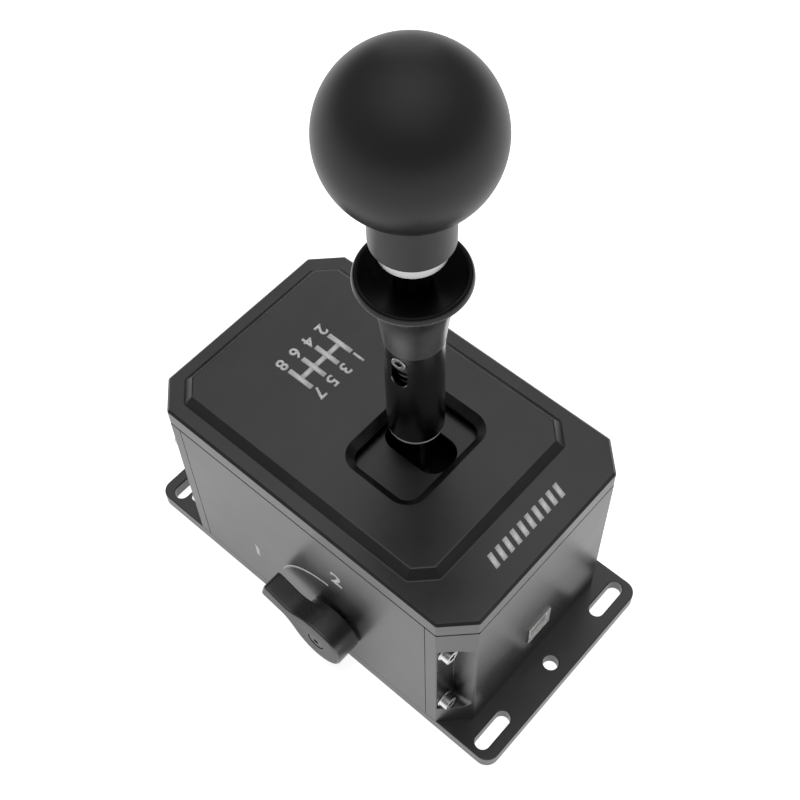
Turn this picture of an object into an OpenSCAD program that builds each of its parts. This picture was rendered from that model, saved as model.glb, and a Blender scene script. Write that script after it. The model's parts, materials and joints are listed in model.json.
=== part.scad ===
// Desk-mounted gear shifter with a lift ring and a rotary mode selector.
// Millimetres, +Z up, +X to the selector side, +Y to the socket end.
// Origin at the middle of the base plate's underside.

/* [Base plate] */
// How far the base plate stands out past each end of the housing
ledge = 15; // [13:0.5:24]
// Thickness of the base plate
base_t = 6; // [5:0.5:10]
// Corner radius of the base plate
base_r = 5; // [2:0.5:8]
// Width of the mounting slots and holes
slot_w = 5.8; // [4.5:0.1:8]
// End-to-end length of a mounting slot
slot_l = 17; // [10:0.5:20]
// Slot centre in from the plate's side
slot_in = 11; // [10:0.25:14]
// Slot and hole centres in from the plate's end
slot_end = 7.25; // [5.5:0.25:9]

/* [Housing] */
// Width across the side panels
body_w = 89.5; // [86:0.5:110]
// Length over the end blocks
body_l = 140; // [130:1:160]
// Corner chamfer of the housing
body_cut = 9.75; // [7:0.25:11]
// Height of the walls above the base plate
wall_h = 76; // [72:1:90]
// Thickness of a side panel
panel_t = 8; // [6:0.5:9]
// Thickness of an end block
block_t = 14.25; // [13:0.25:18]
// Depth of the hollow inside an end block
hollow_d = 6; // [5.8:0.1:6.5]
// Corner pocket: height of its floor above the base plate
pocket_z = 12.3; // [9:0.1:18]
// Corner pocket: height
pocket_h = 50.6; // [44:0.1:54]
// Corner pocket: reach in from the side
pocket_x = 9.05; // [8.6:0.05:11]
// Corner pocket: reach in from the end
pocket_y = 9.4; // [8.6:0.1:10.5]
// Corner pocket: inner corner radius
pocket_r = 4.5; // [2:0.5:6]
// Corner screw centre to pocket floor or ceiling
screw_in = 4.5; // [4:0.1:6]

/* [Top cover] */
// Thickness of the cover at its edge
cover_t = 8; // [6:0.5:12]
// Shadow gap under the cover's edge
cover_gap = 0.7; // [0.4:0.1:1.2]
// Edge chamfer of the cover
cover_edge = 0.9; // [0.4:0.1:1.5]
// Height of the raised plateau
plate_h = 3; // [2:0.5:5]
// Bevel of the plateau
plate_bevel = 3; // [2:0.5:4]
// Plateau: distance from the side edge
plate_in = 5.55; // [4:0.05:8]
// Plateau: distance from the front edge
plate_front = 18.9; // [14:0.1:22]
// Plateau: distance from the rear edge
plate_rear = 5.25; // [4:0.05:10]
// Plateau: corner cut
plate_cut = 7.4; // [5:0.1:9]
// Lever pocket: width
mouth_w = 43.5; // [40:0.5:46]
// Lever pocket: length
mouth_l = 32.6; // [31.5:0.1:36]
// Lever pocket: corner radius
mouth_r = 8; // [4:0.5:10]
// Lever pocket: centre along the housing
mouth_y = 13.4; // [12.5:0.05:14]
// Lever pocket: width of its sloped edge
mouth_in = 2.9; // [2:0.1:3.5]
// Lever pocket: depth of its sloped edge
mouth_d = 2.4; // [1.5:0.1:3]
// Lever pocket: upright wall under the slope
mouth_land = 0.7; // [0.5:0.1:1.5]
// Lever pocket: room between the land and the dust plate
mouth_room = 2.6; // [1:0.1:3]

/* [Lever] */
// Lever axis across the housing
lever_x = -4.75; // [-6:0.05:-3]
// Lever axis along the housing
lever_y = 9.25; // [8.8:0.05:9.8]
// Height of the pivot above the base plate
pivot_h = 44; // [43:0.5:46]
// Radius of the lever shaft
shaft_r = 5; // [4.4:0.1:5]
// Turn between two planes
plane_deg = 6; // [4:0.5:6]
// Turn from the middle to a gear
gear_deg = 5.5; // [4:0.5:5.5]
// Radius of the ball
ball_r = 25; // [20:0.5:30]
// Ball centre above the neck's foot
ball_up = 39.1; // [34:0.1:46]
// Radius of the neck
neck_r = 12.5; // [11:0.5:14]
// Radius of the knob insert
insert_r = 10.4; // [9:0.1:11]
// Height of the knob insert's rim
insert_h = 5.6; // [4:0.1:8]

/* [Lift ring] */
// Travel of the lift ring
lift_travel = 8.5; // [5:0.5:8.5]
// Radius of the sleeve
sleeve_r = 9.6; // [9.4:0.1:10]
// Length of the sleeve
sleeve_l = 47.6; // [44:0.1:56]
// Gap from the plateau to the sleeve
sleeve_up = 4; // [4:0.1:6]
// Width of the guide slot
guide_w = 5.8; // [5.4:0.1:7]
// Facing of the guide slot from +X toward +Y
guide_az = 10; // [0:1:30]
// Height of the lift collar
collar_h = 30.2; // [28:0.1:36]
// Radius of the collar's rim
collar_r = 17.75; // [16.5:0.05:20]
// Fall of the collar's dish from its rim to its hole
dish_d = 2.5; // [1:0.1:6]

/* [Mode selector] */
// Selector axis along the housing
mode_y = 13.5; // [12:0.5:16]
// Selector axis above the base plate
mode_h = 19.3; // [17:0.1:21]
// Radius of the selector's hub
mode_r = 11.3; // [10:0.1:13]
// Reach of the selector's arm
mode_arm = 27; // [23:0.5:32]
// Width of the arm at its tip
mode_tip = 8.7; // [7:0.1:10]
// Width of the arm at its waist
mode_waist = 7.5; // [6:0.1:8.5]
// How far the selector stands off the panel
mode_out = 11.2; // [10:0.1:14]
// Direction of the arm at rest, from +Y toward +Z
mode_at = 164; // [160:1:168]
// Turn of the selector
mode_turn = 70; // [50:5:70]

/* [Data socket] */
// Width of the socket shell
usb_w = 12; // [12:0.1:12.4]
// Height of the socket shell
usb_h = 10.9; // [10.6:0.1:11.4]
// Height of the socket centre above the base plate
usb_z = 22.7; // [20:0.1:26]
// How far the shell stands out
usb_out = 0.65; // [0.3:0.05:1]

/* [Hidden] */
$fn = 64;
eps = 0.01;
// Clearances: between bodies, of a running fit, of a glued or screwed fit
gap = 0.4;
run = 0.03;
fit = 0.02;
// Screw sizes: M3 and M4 thread, head radius and head height
m3 = 1.5;
m3_head = 2.75;
m3_tall = 3;
m4 = 2;
m4_head = 3.5;
m4_tall = 4;

// Housing levels and planes
base_l = body_l + 2 * ledge;
slot_dx = body_w - 2 * slot_in;
slot_dy = base_l - 2 * slot_end;
hw = body_w / 2;
hl = body_l / 2;
seam_y = hl - block_t;
in_x = hw - panel_t;
seat_z = base_t + wall_h;
edge_z = seat_z + cover_t;
top_z = edge_z + plate_h;
screw_x = hw - panel_t / 2;
screw_y = hl - pocket_y;
pocket_lo = base_t + pocket_z;
pocket_hi = pocket_lo + pocket_h;
screw_zs = [pocket_lo + screw_in - 0.6, pocket_hi - screw_in - 0.6];
hollow_x = in_x - 8.75;
hollow_lo = base_t + 7;
hollow_hi = seat_z - 10;
cover_screw_x = hollow_x - 4;
cover_screw_y = seam_y + 3;
base_screw_x = hollow_x + 3.8;
base_screw_y = seam_y + 6;

// Pivot frame
pz = base_t + pivot_h;
axle_r = 3;
stub_r = 4;
frame_x = in_x + lever_x - 10;
frame_y = 20;
frame_in_x = frame_x - 7;
frame_in_y = frame_y - 6;
frame_z = 7;
hub_x = frame_in_x - 1.8;
hub_y = 9;
hub_z = 11;
bracket_x = 13;
bracket_t = 8;
bear_r = 8;
bear_w = 5;
front_y = frame_y + 0.6;
cam_t = 6;
rear_y = frame_y + cam_t + 1;
foot_l = 10;
foot_t = 6;
bracket_screw = 8;

// Fore and aft detent: tip sphere centre, tip radius, reach into a groove
shift_at = 29;
shift_tip = 3;
shift_in = 0.8;
tube_r = 6.2;
tube_lo = 24;
detent_x = [-18, 14];
detent_y = 11;
detent_r = shift_at + shift_tip + gap;

// Side to side detent
cam_r = frame_x + 2;
select_tip = 1.2;
select_in = 0.7;
select_at = cam_r + 0.3 + select_tip;
select_y = lever_y - frame_y - cam_t / 2;
nose_x = lever_x + select_at;
guide_lo = lever_x + cam_r + 2.35;
slide_t = 1.6;
slide_hi = in_x - gap;
slide_lo = slide_hi - slide_t;
guide_hi = slide_lo - 0.75;
tail_hi = slide_lo - 0.35;
body_r = 3;
tail_r = 1.8;
body_lo = nose_x + 1.75;
body_hi = body_lo + 4;
guide_wall = 2.1;
guide_half = body_r + 3;
guide_foot = guide_half + 8;
guide_base = 5;
guide_top = body_r + 4;
guide_screw_y = guide_half + 4;

// Dust plate and rails
dust_t = 2;
roof_z = top_z - mouth_d - mouth_land;
dust_z = roof_z - mouth_room - dust_t;
dust_arm = dust_z + dust_t / 2 - pz;
dust_left = dust_arm * plane_deg * PI / 180;
dust_right = 2 * dust_left;
dust_over = 3;
dust_x = [-mouth_w / 2 + mouth_in - dust_right - dust_over, mouth_w / 2 - mouth_in + dust_left + dust_over];
dust_y = [mouth_y - mouth_l / 2 - 3.5, mouth_y + mouth_l / 2 + 3.7];
dust_slot_w = 15;
dust_slot_l = 25.5;
dust_slot_r = 6.2;
dust_slot_at = [1.85, 3.7];
hollow_run = dust_x[1] + dust_right + 0.5;
rail_gap = 0.3;
rail_t = 5.6;
rail_lip = 2.2;
rail_lo = seat_z - 3;
rail_x = 30;
rail_screw = 22;

// Lever levels
sleeve_z = top_z + sleeve_up;
collar_z = sleeve_z + sleeve_l;
collar_top = collar_z + collar_h;
insert_z = collar_top + lift_travel + 0.3;
neck_z = insert_z + insert_h;
ball_z = neck_z + ball_up;
bore_r = sleeve_r - 1.35;
ring_r = bore_r - run;
guide_z = collar_z - 4.4;
ring_lo = guide_z - 5.2;
ring_hi = guide_z + 4.8;
cap_lo = sleeve_z - 1.8;
cap_hi = sleeve_z + 4;
slot_hi = guide_z + guide_w / 2;
slot_lo = guide_z - guide_w / 2 - lift_travel;
stem_r = 8;
stem_hi = ball_z - 14;
shaft_lo = pz + 5;
shaft_hi = neck_z + 14;

// Selector
mz = base_t + mode_h;
spindle_r = 3;
crank_r = 9;
crank_pin = 1.6;
crank_hi = slide_lo - 0.45;
crank_lo = crank_hi - 3.3;
slide_run = 2 * crank_r * sin(mode_turn / 2);
crank_at = 90 + mode_turn / 2;
mode_lo = 0.8;
arm_lo = 3;
mode_front = hw + mode_out;
bush_r = 5;
slide_screws = [select_y + 10.75, select_y - 12.25];
slide_screw_z = mz - 3.3;

// Board and socket
wall_in = seam_y + hollow_d;
board_t = 1.6;
boss_t = 2.65;
board_y = wall_in - boss_t - board_t;
board_x = hollow_x - 4;
board_z = [hollow_lo + 1, hollow_hi - 12];
board_u = board_x / 24;
board_v = (board_z[1] - board_z[0]) / 46;
board_screws = [for (x = [-1, 1]) for (z = [board_z[0] + 4, board_z[1] - 4]) [x * (board_x - 4), z]];
uz = base_t + usb_z;

// Node to draw, or all

// Shared shapes

// Octagon about the axis: width, length, corner cut
module octagon(w, l, cut) {
    x = w / 2;
    y = l / 2;
    polygon([[x, y - cut], [x - cut, y], [cut - x, y], [-x, y - cut],
        [-x, cut - y], [cut - x, -y], [x - cut, -y], [x, cut - y]]);
}

// Box from corner to corner
module block(a, b) {
    translate(a) cube(b - a);
}

// Cylinders along X and Y from a low point
module rod_x(r, x0, x1) {
    translate([x0, 0, 0]) rotate([0, 90, 0]) cylinder(r = r, h = x1 - x0);
}

module rod_y(r, y0, y1) {
    translate([0, y0, 0]) rotate([-90, 0, 0]) cylinder(r = r, h = y1 - y0);
}

module rod_z(r, z0, z1) {
    translate([0, 0, z0]) cylinder(r = r, h = z1 - z0);
}

// Upright box with four round corners
module round_box(w, l, r, z0, z1) {
    block([-w / 2 + r, -l / 2, z0], [w / 2 - r, l / 2, z1]);
    block([-w / 2, -l / 2 + r, z0], [w / 2, l / 2 - r, z1]);
    for (x = [-1, 1])
        for (y = [-1, 1])
            translate([x * (w / 2 - r), y * (l / 2 - r), 0]) rod_z(r, z0, z1);
}

// Slot along X, through a plate
module slot_x(len, r, z0, z1) {
    block([-len / 2 + r, -r, z0], [len / 2 - r, r, z1]);
    for (x = [-1, 1])
        translate([x * (len / 2 - r), 0, 0]) rod_z(r, z0, z1);
}

// Slot in a plate that faces X, between two points of Y and Z
module slot_yz(a, b, r, x0, x1) {
    lo = [min(a[0], b[0]), min(a[1], b[1])];
    hi = [max(a[0], b[0]), max(a[1], b[1])];
    along = hi[0] - lo[0] > hi[1] - lo[1];
    dy = along ? 0 : r;
    dz = along ? r : 0;
    block([x0, lo[0] - dy, lo[1] - dz], [x1, hi[0] + dy, hi[1] + dz]);
    for (p = [lo, hi])
        translate([0, p[0], p[1]]) rod_x(r, x0, x1);
}

// Socket cap screw, head up from z = 0, shank down
module cap_screw(r, head, tall, len) {
    difference() {
        union() {
            rod_z(head, 0, tall);
            rod_z(r, -len, eps);
        }
        translate([0, 0, tall * 0.45]) cylinder(r = head * 0.52, h = tall, $fn = 6);
    }
}

// Coil of n turns up from z = 0: middle radius, wire radius, height
module coil(mid, wire, tall, n) {
    per = 8;
    sides = 6;
    rings = n * per;
    rise = tall - 2 * wire;
    points = [for (i = [0 : rings]) for (j = [0 : sides - 1])
        let (a = 360 * i / per, b = 360 * j / sides, d = mid + wire * cos(b))
        [d * cos(a), d * sin(a), wire + rise * i / rings + wire * sin(b)]];
    sideways = [for (i = [0 : rings - 1]) for (j = [0 : sides - 1])
        let (k = (j + 1) % sides)
        [i * sides + j, i * sides + k, (i + 1) * sides + k, (i + 1) * sides + j]];
    ends = [[for (j = [sides - 1 : -1 : 0]) j], [for (j = [0 : sides - 1]) rings * sides + j]];
    echo(coil_gap = rise / n - 2 * wire);
    polyhedron(points, [for (f = concat(sideways, ends)) [for (q = [len(f) - 1 : -1 : 0]) f[q]]], convexity = 8);
}

// Move to the pivot
module at_pivot() {
    translate([lever_x, lever_y, pz]) children();
}

// Move to the lever axis at z = 0
module at_lever() {
    translate([lever_x, lever_y, 0]) children();
}

// Housing

module base_plate() {
    color("#2a2a2b")
    difference() {
        round_box(body_w, base_l, base_r, 0, base_t);
        for (x = [-1, 1])
            for (y = [-1, 1])
                translate([x * slot_dx / 2, y * slot_dy / 2, 0]) slot_x(slot_l, slot_w / 2, -1, base_t + 1);
        for (y = [-1, 1])
            translate([0, y * slot_dy / 2, 0]) rod_z(slot_w / 2, -1, base_t + 1);
        for (x = [-1, 1])
            for (y = [-1, 1])
                translate([x * base_screw_x, y * base_screw_y, 0]) {
                    rod_z(m4 + fit, -1, base_t + 1);
                    rod_z(m4_head + 0.3, -1, 0.35);
                    translate([0, 0, 0.35]) cylinder(r1 = m4_head + 0.3, r2 = m4 + fit, h = 2);
                }
        bracket_points() rod_z(m4 + eps, 1.5, base_t + 1);
        detent_points() rod_z(m3 + eps, 1.5, base_t + 1);
        guide_points() rod_z(m3 + eps, 1.5, base_t + 1);
    }
}

// Pocket cut along Y into the corner at +X, +Y
module corner_pocket() {
    x0 = hw - pocket_x;
    y0 = screw_y;
    far = body_cut + 20;
    block([x0, y0, pocket_lo + pocket_r], [hw + far, hl + far, pocket_hi - pocket_r]);
    block([x0 + pocket_r, y0, pocket_lo], [hw + far, hl + far, pocket_hi]);
    for (z = [pocket_lo + pocket_r, pocket_hi - pocket_r])
        translate([x0 + pocket_r, 0, z]) rod_y(pocket_r, y0, hl + far);
}

// End block at +Y
module end_block() {
    difference() {
        intersection() {
            translate([0, 0, base_t]) linear_extrude(wall_h) octagon(body_w, body_l, body_cut);
            block([-hw, seam_y, base_t], [hw, hl, seat_z]);
        }
        for (s = [0, 1])
            mirror([s, 0, 0]) {
                corner_pocket();
                for (z = screw_zs)
                    translate([screw_x, 0, z]) rod_y(m3 + fit, seam_y - 1, hl);
                translate([base_screw_x, base_screw_y, 0]) rod_z(m4, 0, base_t + 10.3);
                translate([cover_screw_x, cover_screw_y, 0]) rod_z(m3 + fit, hollow_hi - 1, seat_z + 1);
            }
        block([-hollow_x, seam_y - 1, hollow_lo], [hollow_x, wall_in, hollow_hi]);
    }
}

module front_block() {
    color("#2e2e2f")
    difference() {
        union() {
            end_block();
            for (p = board_screws)
                translate([p[0], 0, p[1]]) rod_y(3, wall_in - boss_t, wall_in + 1);
        }
        block([-usb_w / 2 - 0.3, seam_y - 1, uz - usb_h / 2 - 0.3], [usb_w / 2 + 0.3, hl + 1, uz + usb_h / 2 + 0.3]);
        for (p = board_screws)
            translate([p[0], 0, p[1]]) rod_y(1.25, seam_y, wall_in + 3);
    }
}

module rear_block() {
    color("#2e2e2f") mirror([0, 1, 0]) end_block();
}

// Panel at +X, with its end screw holes
module side_panel() {
    difference() {
        block([in_x, -seam_y, base_t], [hw, seam_y, seat_z]);
        for (y = [-1, 1])
            for (z = screw_zs)
                translate([screw_x, y * seam_y, z]) rod_y(m3, -9.2, 9.2);
    }
}

module left_panel() {
    color("#2e2e2f") mirror([1, 0, 0]) side_panel();
}

module right_panel() {
    color("#2e2e2f")
    difference() {
        side_panel();
        translate([0, mode_y, mz]) rod_x(bush_r, in_x - 1, hw + 1);
        for (y = slide_screws)
            translate([0, y, slide_screw_z]) rod_x(m3 + eps, in_x - 1, in_x + 5);
    }
}

// Lever pocket in the cover: sloped edge, upright land and the hollow where the dust plate runs
module lever_pocket() {
    w = mouth_w - 2 * mouth_in;
    l = mouth_l - 2 * mouth_in;
    slope_z = top_z - mouth_d;
    translate([0, mouth_y, 0]) {
        hull() {
            round_box(w, l, mouth_r - mouth_in, slope_z - eps, slope_z, $fn = 32);
            round_box(mouth_w, mouth_l, mouth_r, top_z, top_z + 1, $fn = 32);
        }
        round_box(w, l, mouth_r - mouth_in, seat_z - 1, slope_z);
    }
    block([-hollow_run, dust_y[0] - rail_gap, seat_z - 1], [hollow_run, dust_y[1] + rail_gap, roof_z]);
}

module top_cover() {
    rim = 1;
    plate_l = body_l - plate_front - plate_rear;
    plate_y = (plate_rear - plate_front) / 2;
    plate_w = body_w - 2 * plate_in;
    slim = plate_bevel * (2 - sqrt(2));
    color("#2c2c2d")
    difference() {
        union() {
            translate([0, 0, seat_z])
                linear_extrude(cover_gap + eps) octagon(body_w - 2 * rim, body_l - 2 * rim, body_cut - 0.59 * rim);
            translate([0, 0, seat_z + cover_gap])
                linear_extrude(cover_t - cover_gap - cover_edge) octagon(body_w, body_l, body_cut);
            hull() {
                translate([0, 0, edge_z - cover_edge - eps]) linear_extrude(eps) octagon(body_w, body_l, body_cut);
                translate([0, 0, edge_z - eps]) linear_extrude(eps)
                    octagon(body_w - 2 * cover_edge, body_l - 2 * cover_edge, body_cut - 0.59 * cover_edge);
            }
            translate([0, plate_y, 0])
                hull() {
                    translate([0, 0, edge_z - eps]) linear_extrude(eps) octagon(plate_w, plate_l, plate_cut);
                    translate([0, 0, top_z - eps]) linear_extrude(eps)
                        octagon(plate_w - 2 * plate_bevel, plate_l - 2 * plate_bevel, plate_cut - slim);
                }
        }
        lever_pocket();
        for (x = [-1, 1]) {
            for (y = [-1, 1])
                translate([x * cover_screw_x, y * cover_screw_y, 0]) rod_z(m3, seat_z - 1, seat_z + 6);
            for (y = rail_mids())
                translate([x * rail_screw, y, 0]) rod_z(m3, seat_z - 1, seat_z + 6);
        }
    }
}

module corner_screws() {
    color("#c9c9c6")
    for (sx = [0, 1])
        for (sy = [0, 1])
            mirror([sx, 0, 0]) mirror([0, sy, 0])
                for (z = screw_zs)
                    translate([screw_x, screw_y, z]) rotate([-90, 0, 0]) {
                        translate([0, 0, 0.5]) cap_screw(m3, m3_head, m3_tall, screw_y - seam_y + 9.5);
                        difference() {
                            rod_z(3.3, 0, 0.5 + eps);
                            rod_z(m3, -1, 1);
                        }
                    }
}

module base_screws() {
    color("#8c8c8a")
    for (x = [-1, 1])
        for (y = [-1, 1])
            translate([x * base_screw_x, y * base_screw_y, 0])
                difference() {
                    union() {
                        translate([0, 0, 0.35]) cylinder(r1 = m4_head, r2 = m4 - 0.1, h = 1.9);
                        rod_z(m4 - fit, 2, base_t + 10);
                    }
                    translate([0, 0, -1]) cylinder(r = 1.4, h = 2.6, $fn = 6);
                }
}

module cover_screws() {
    color("#8c8c8a")
    for (x = [-1, 1])
        for (y = [-1, 1])
            translate([x * cover_screw_x, y * cover_screw_y, hollow_hi]) mirror([0, 0, 1])
                cap_screw(m3, m3_head, m3_tall, seat_z - hollow_hi + 5.8);
}

// Pivot brackets, bearings and detents

// Upright plate with a bearing seat, from inner face y0 toward +Y
module bracket(y0) {
    difference() {
        union() {
            block([-bracket_x, y0, base_t - pz], [bracket_x, y0 + bracket_t, 0]);
            rod_y(bracket_x, y0, y0 + bracket_t);
            block([-bracket_x, y0, base_t - pz], [bracket_x, y0 + bracket_t + foot_l, base_t + foot_t - pz]);
        }
        rod_y(6, y0 - 1, y0 + bracket_t + 1);
        rod_y(bear_r + fit, y0 - 1, y0 + 1 + bear_w);
        for (x = [-1, 1])
            translate([x * bracket_screw, y0 + bracket_t + foot_l / 2, 0]) rod_z(m4 + fit, base_t - pz - 1, 0);
    }
}

// The four screw points of the bracket feet
module bracket_points() {
    for (x = [-1, 1])
        for (y = [front_y + bracket_t + foot_l / 2, -rear_y - bracket_t - foot_l / 2])
            translate([lever_x + x * bracket_screw, lever_y + y, 0]) children();
}

module detent_points() {
    for (x = [detent_x[0] + 3.5, detent_x[1] - 3.5])
        translate([lever_x + x, lever_y, 0]) children();
}

module guide_points() {
    for (y = [-guide_screw_y, guide_screw_y])
        translate([(guide_lo + guide_hi) / 2, select_y + y, 0]) children();
}

module front_bracket() {
    color("#8f9193") at_pivot() bracket(front_y);
}

module rear_bracket() {
    color("#8f9193")
    at_pivot() {
        mirror([0, 1, 0]) bracket(rear_y);
        for (x = [-1, 1])
            translate([x * 9, 0, -6]) rod_y(1.75, -rear_y - bracket_t - 5, -rear_y - bracket_t + 1);
    }
}

module bracket_screws() {
    color("#3a3a3c")
    bracket_points() translate([0, 0, base_t + foot_t]) cap_screw(m4, m4_head, m4_tall, foot_t + 4.3);
}

module select_bearings() {
    color("#b9bab8")
    at_pivot()
        for (y = [front_y + 1, -rear_y - 1 - bear_w])
            difference() {
                rod_y(bear_r, y, y + bear_w);
                rod_y(stub_r + run, y - 1, y + bear_w + 1);
                for (s = [0, 1])
                    translate([0, y + s * bear_w, 0])
                        difference() {
                            rod_y(6.7, -0.4, 0.4);
                            rod_y(5.3, -1, 1);
                        }
            }
}

module detent_block() {
    top = pz - sqrt(detent_r * detent_r - detent_y * detent_y);
    color("#a08a4c")
    difference() {
        block([lever_x + detent_x[0], lever_y - detent_y, base_t], [lever_x + detent_x[1], lever_y + detent_y, top]);
        at_pivot() rod_x(detent_r, detent_x[0] - 1, detent_x[1] + 1);
        at_pivot()
            for (a = [-1, 0, 1])
                rotate([a * gear_deg, 0, 0]) translate([0, 0, -shift_at - shift_in])
                    rod_x(shift_tip + 0.35, detent_x[0] - 1, detent_x[1] + 1);
        detent_points() {
            rod_z(m3 + fit, base_t - 1, pz);
            rod_z(m3_head + 0.3, base_t + 5, pz);
        }
    }
}

module detent_screws() {
    color("#3a3a3c")
    detent_points() translate([0, 0, base_t + 5]) cap_screw(m3, m3_head, m3_tall, 9);
}

module plunger_guide() {
    color("#8f9193")
    difference() {
        union() {
            block([guide_lo, select_y - guide_half, base_t], [guide_hi, select_y + guide_half, pz + guide_top]);
            block([guide_lo, select_y - guide_foot, base_t], [guide_hi, select_y + guide_foot, base_t + guide_base]);
        }
        translate([0, select_y, pz]) {
            rod_x(body_r + run, guide_lo - 1, guide_hi - guide_wall);
            rod_x(tail_r + run, guide_lo, guide_hi + 1);
        }
        guide_points() rod_z(m3 + fit, base_t - 1, base_t + guide_base + 1);
    }
}

module guide_block_screws() {
    color("#3a3a3c")
    guide_points() translate([0, 0, base_t + guide_base]) cap_screw(m3, m3_head, m3_tall, guide_base + base_t - 2);
}

// Dust plate rails under the cover

function rail_mids() = [dust_y[0] - rail_gap - rail_t / 2, dust_y[1] + rail_gap + rail_t / 2];

// Rail along X: a foot under the cover, and a web from y = 0 toward +Y that rises to the dust plate
module rail() {
    difference() {
        union() {
            block([-rail_x, -rail_t, rail_lo], [rail_x, rail_lip, seat_z]);
            block([-rail_x, 0, rail_lo], [rail_x, rail_lip, dust_z - rail_gap]);
        }
        for (x = [-1, 1])
            translate([x * rail_screw, -rail_t / 2, 0]) rod_z(m3 + fit, rail_lo - 1, seat_z + 1);
    }
}

module front_rail() {
    color("#d8d8d2") translate([0, dust_y[1] + rail_gap, 0]) mirror([0, 1, 0]) rail();
}

module rear_rail() {
    color("#d8d8d2") translate([0, dust_y[0] - rail_gap, 0]) rail();
}

module rail_screws() {
    color("#3a3a3c")
    for (x = [-1, 1])
        for (y = rail_mids())
            translate([x * rail_screw, y, rail_lo]) mirror([0, 0, 1])
                cap_screw(m3, m3_head, m3_tall, seat_z - rail_lo + 5.8);
}

// Board, socket and sensors

module control_board() {
    color("#1f5a36")
    difference() {
        block([-board_x, board_y, board_z[0]], [board_x, board_y + board_t, board_z[1]]);
        for (p = board_screws)
            translate([p[0], 0, p[1]]) rod_y(1.3, board_y - 1, board_y + board_t + 1);
    }
}

// Chip on the board's back: middle and size in a board of 48 by 46, and its height
module chip(at, size, tall) {
    u = board_u;
    v = board_v;
    block([(at[0] - size[0] / 2) * u, -tall, (at[1] - size[1] / 2) * v],
        [(at[0] + size[0] / 2) * u, 0, (at[1] + size[1] / 2) * v]);
}

module board_chips() {
    color("#232325")
    translate([0, board_y, board_z[0]]) {
        chip([0, 28.5], [9, 9], 1.2);
        chip([10.5, 25], [5, 6], 1.8);
        chip([-12.5, 26], [5, 12], 2.6);
        chip([-14, 37.2], [4, 2.5], 1);
        chip([5, 40.5], [14, 5], 4.5);
    }
}

module board_screws() {
    color("#c9c9c6")
    for (p = board_screws)
        translate([p[0], board_y, p[1]]) rotate([90, 0, 0]) cap_screw(1.24, 2.2, 1.6, board_t + boss_t + 2.6);
}

module usb_shell() {
    color("#d4d5d6")
    difference() {
        block([-usb_w / 2, board_y + board_t, uz - usb_h / 2], [usb_w / 2, hl + usb_out, uz + usb_h / 2]);
        block([-usb_w / 2 + 0.5, board_y, uz - usb_h / 2 + 0.5], [usb_w / 2 - 0.5, hl + 9, uz + usb_h / 2 - 0.5]);
    }
}

module usb_insulator() {
    w = usb_w / 2 - 0.52;
    h = usb_h / 2 - 0.52;
    color("#e4e3de")
    difference() {
        block([-w, board_y + board_t, uz - h], [w, hl + usb_out - 0.5, uz + h]);
        difference() {
            translate([0, 0, uz]) rotate([90, 0, 0]) translate([0, 0, -hl - 5])
                linear_extrude(13.5)
                    polygon([[-4.2, -3.9], [4.2, -3.9], [4.2, 2], [2.4, 3.9], [-2.4, 3.9], [-4.2, 2]]);
            block([-2.8, board_y, uz - 1.6], [2.8, hl - 0.6, uz + 1.6]);
        }
    }
}

// Small sensor board facing +Y, at the pivot's rear
module select_sensor() {
    y = -rear_y - bracket_t - 5;
    color("#1f5a36")
    at_pivot() {
        difference() {
            block([-12, y - 1.5, -10], [12, y, 8]);
            for (x = [-1, 1])
                translate([x * 9, 0, -6]) rod_y(0.9, y - 2, y + 1);
        }
        block([-2.5, y - eps, -2.5], [2.5, y + 0.9, 2.5]);
        block([-8, y - 4.5, 2], [8, y - 1.5 + eps, 6]);
    }
}

// Mode selector's fixed pieces

module mode_bush() {
    color("#b08d4a")
    translate([0, mode_y, mz])
        difference() {
            rod_x(bush_r, in_x, hw);
            rod_x(spindle_r + run, in_x - 1, hw + 1);
        }
}

module slide_screws() {
    color("#c9c9c6")
    for (y = slide_screws)
        translate([0, y, slide_screw_z]) {
            rod_x(m3, in_x - 1, in_x + 4.8);
            rod_x(1.9, slide_lo - 0.35, in_x);
            difference() {
                rod_x(3, slide_lo - 2.15, slide_lo - 0.35 + eps);
                translate([slide_lo - 3, 0, 0]) rotate([0, 90, 0]) cylinder(r = 1.4, h = 1.8, $fn = 6);
            }
        }
}

// Pivot frame, turning about Y

module gimbal_frame() {
    color("#9a9c9e")
    at_pivot() {
        difference() {
            block([-frame_x, -frame_y, -frame_z], [frame_x, frame_y, frame_z]);
            block([-frame_in_x, -frame_in_y, -frame_z - 1], [frame_in_x, frame_in_y, frame_z + 1]);
            rod_x(4.5, -frame_x - 1, frame_x + 1);
            rod_y(stub_r + fit, -frame_y - 1, frame_y + 1);
        }
        for (y = [-1, 1])
            translate([0, y * 8, 0]) rod_x(1.75, -frame_x - 6, -frame_x + 1);
    }
}

module select_axles() {
    color("#b9bab8")
    at_pivot() {
        rod_y(stub_r, frame_in_y, front_y + bracket_t - 0.6);
        rod_y(5.2, frame_y, front_y + 0.6);
        rod_y(stub_r, -rear_y - bracket_t - 0.5, -frame_in_y);
    }
}

module select_cam() {
    color("#a08a4c")
    at_pivot()
        difference() {
            union() {
                rod_y(9, -frame_y - cam_t, -frame_y);
                rod_y(5.2, -rear_y - 0.6, -frame_y);
                intersection() {
                    rod_y(cam_r, -frame_y - cam_t, -frame_y);
                    translate([0, -frame_y, 0]) rotate([90, 0, 0]) linear_extrude(cam_t)
                        polygon([[0, 0], [40 * cos(-15), 40 * sin(-15)], [40 * cos(21), 40 * sin(21)]]);
                }
            }
            rod_y(stub_r + fit, -rear_y - 1, -frame_y + 1);
            for (k = [-1 : 2])
                rotate([0, -k * plane_deg, 0]) translate([select_at - select_in, 0, 0])
                    rod_y(select_tip + 0.3, -frame_y - cam_t - 1, -frame_y + 1);
        }
}

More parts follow.
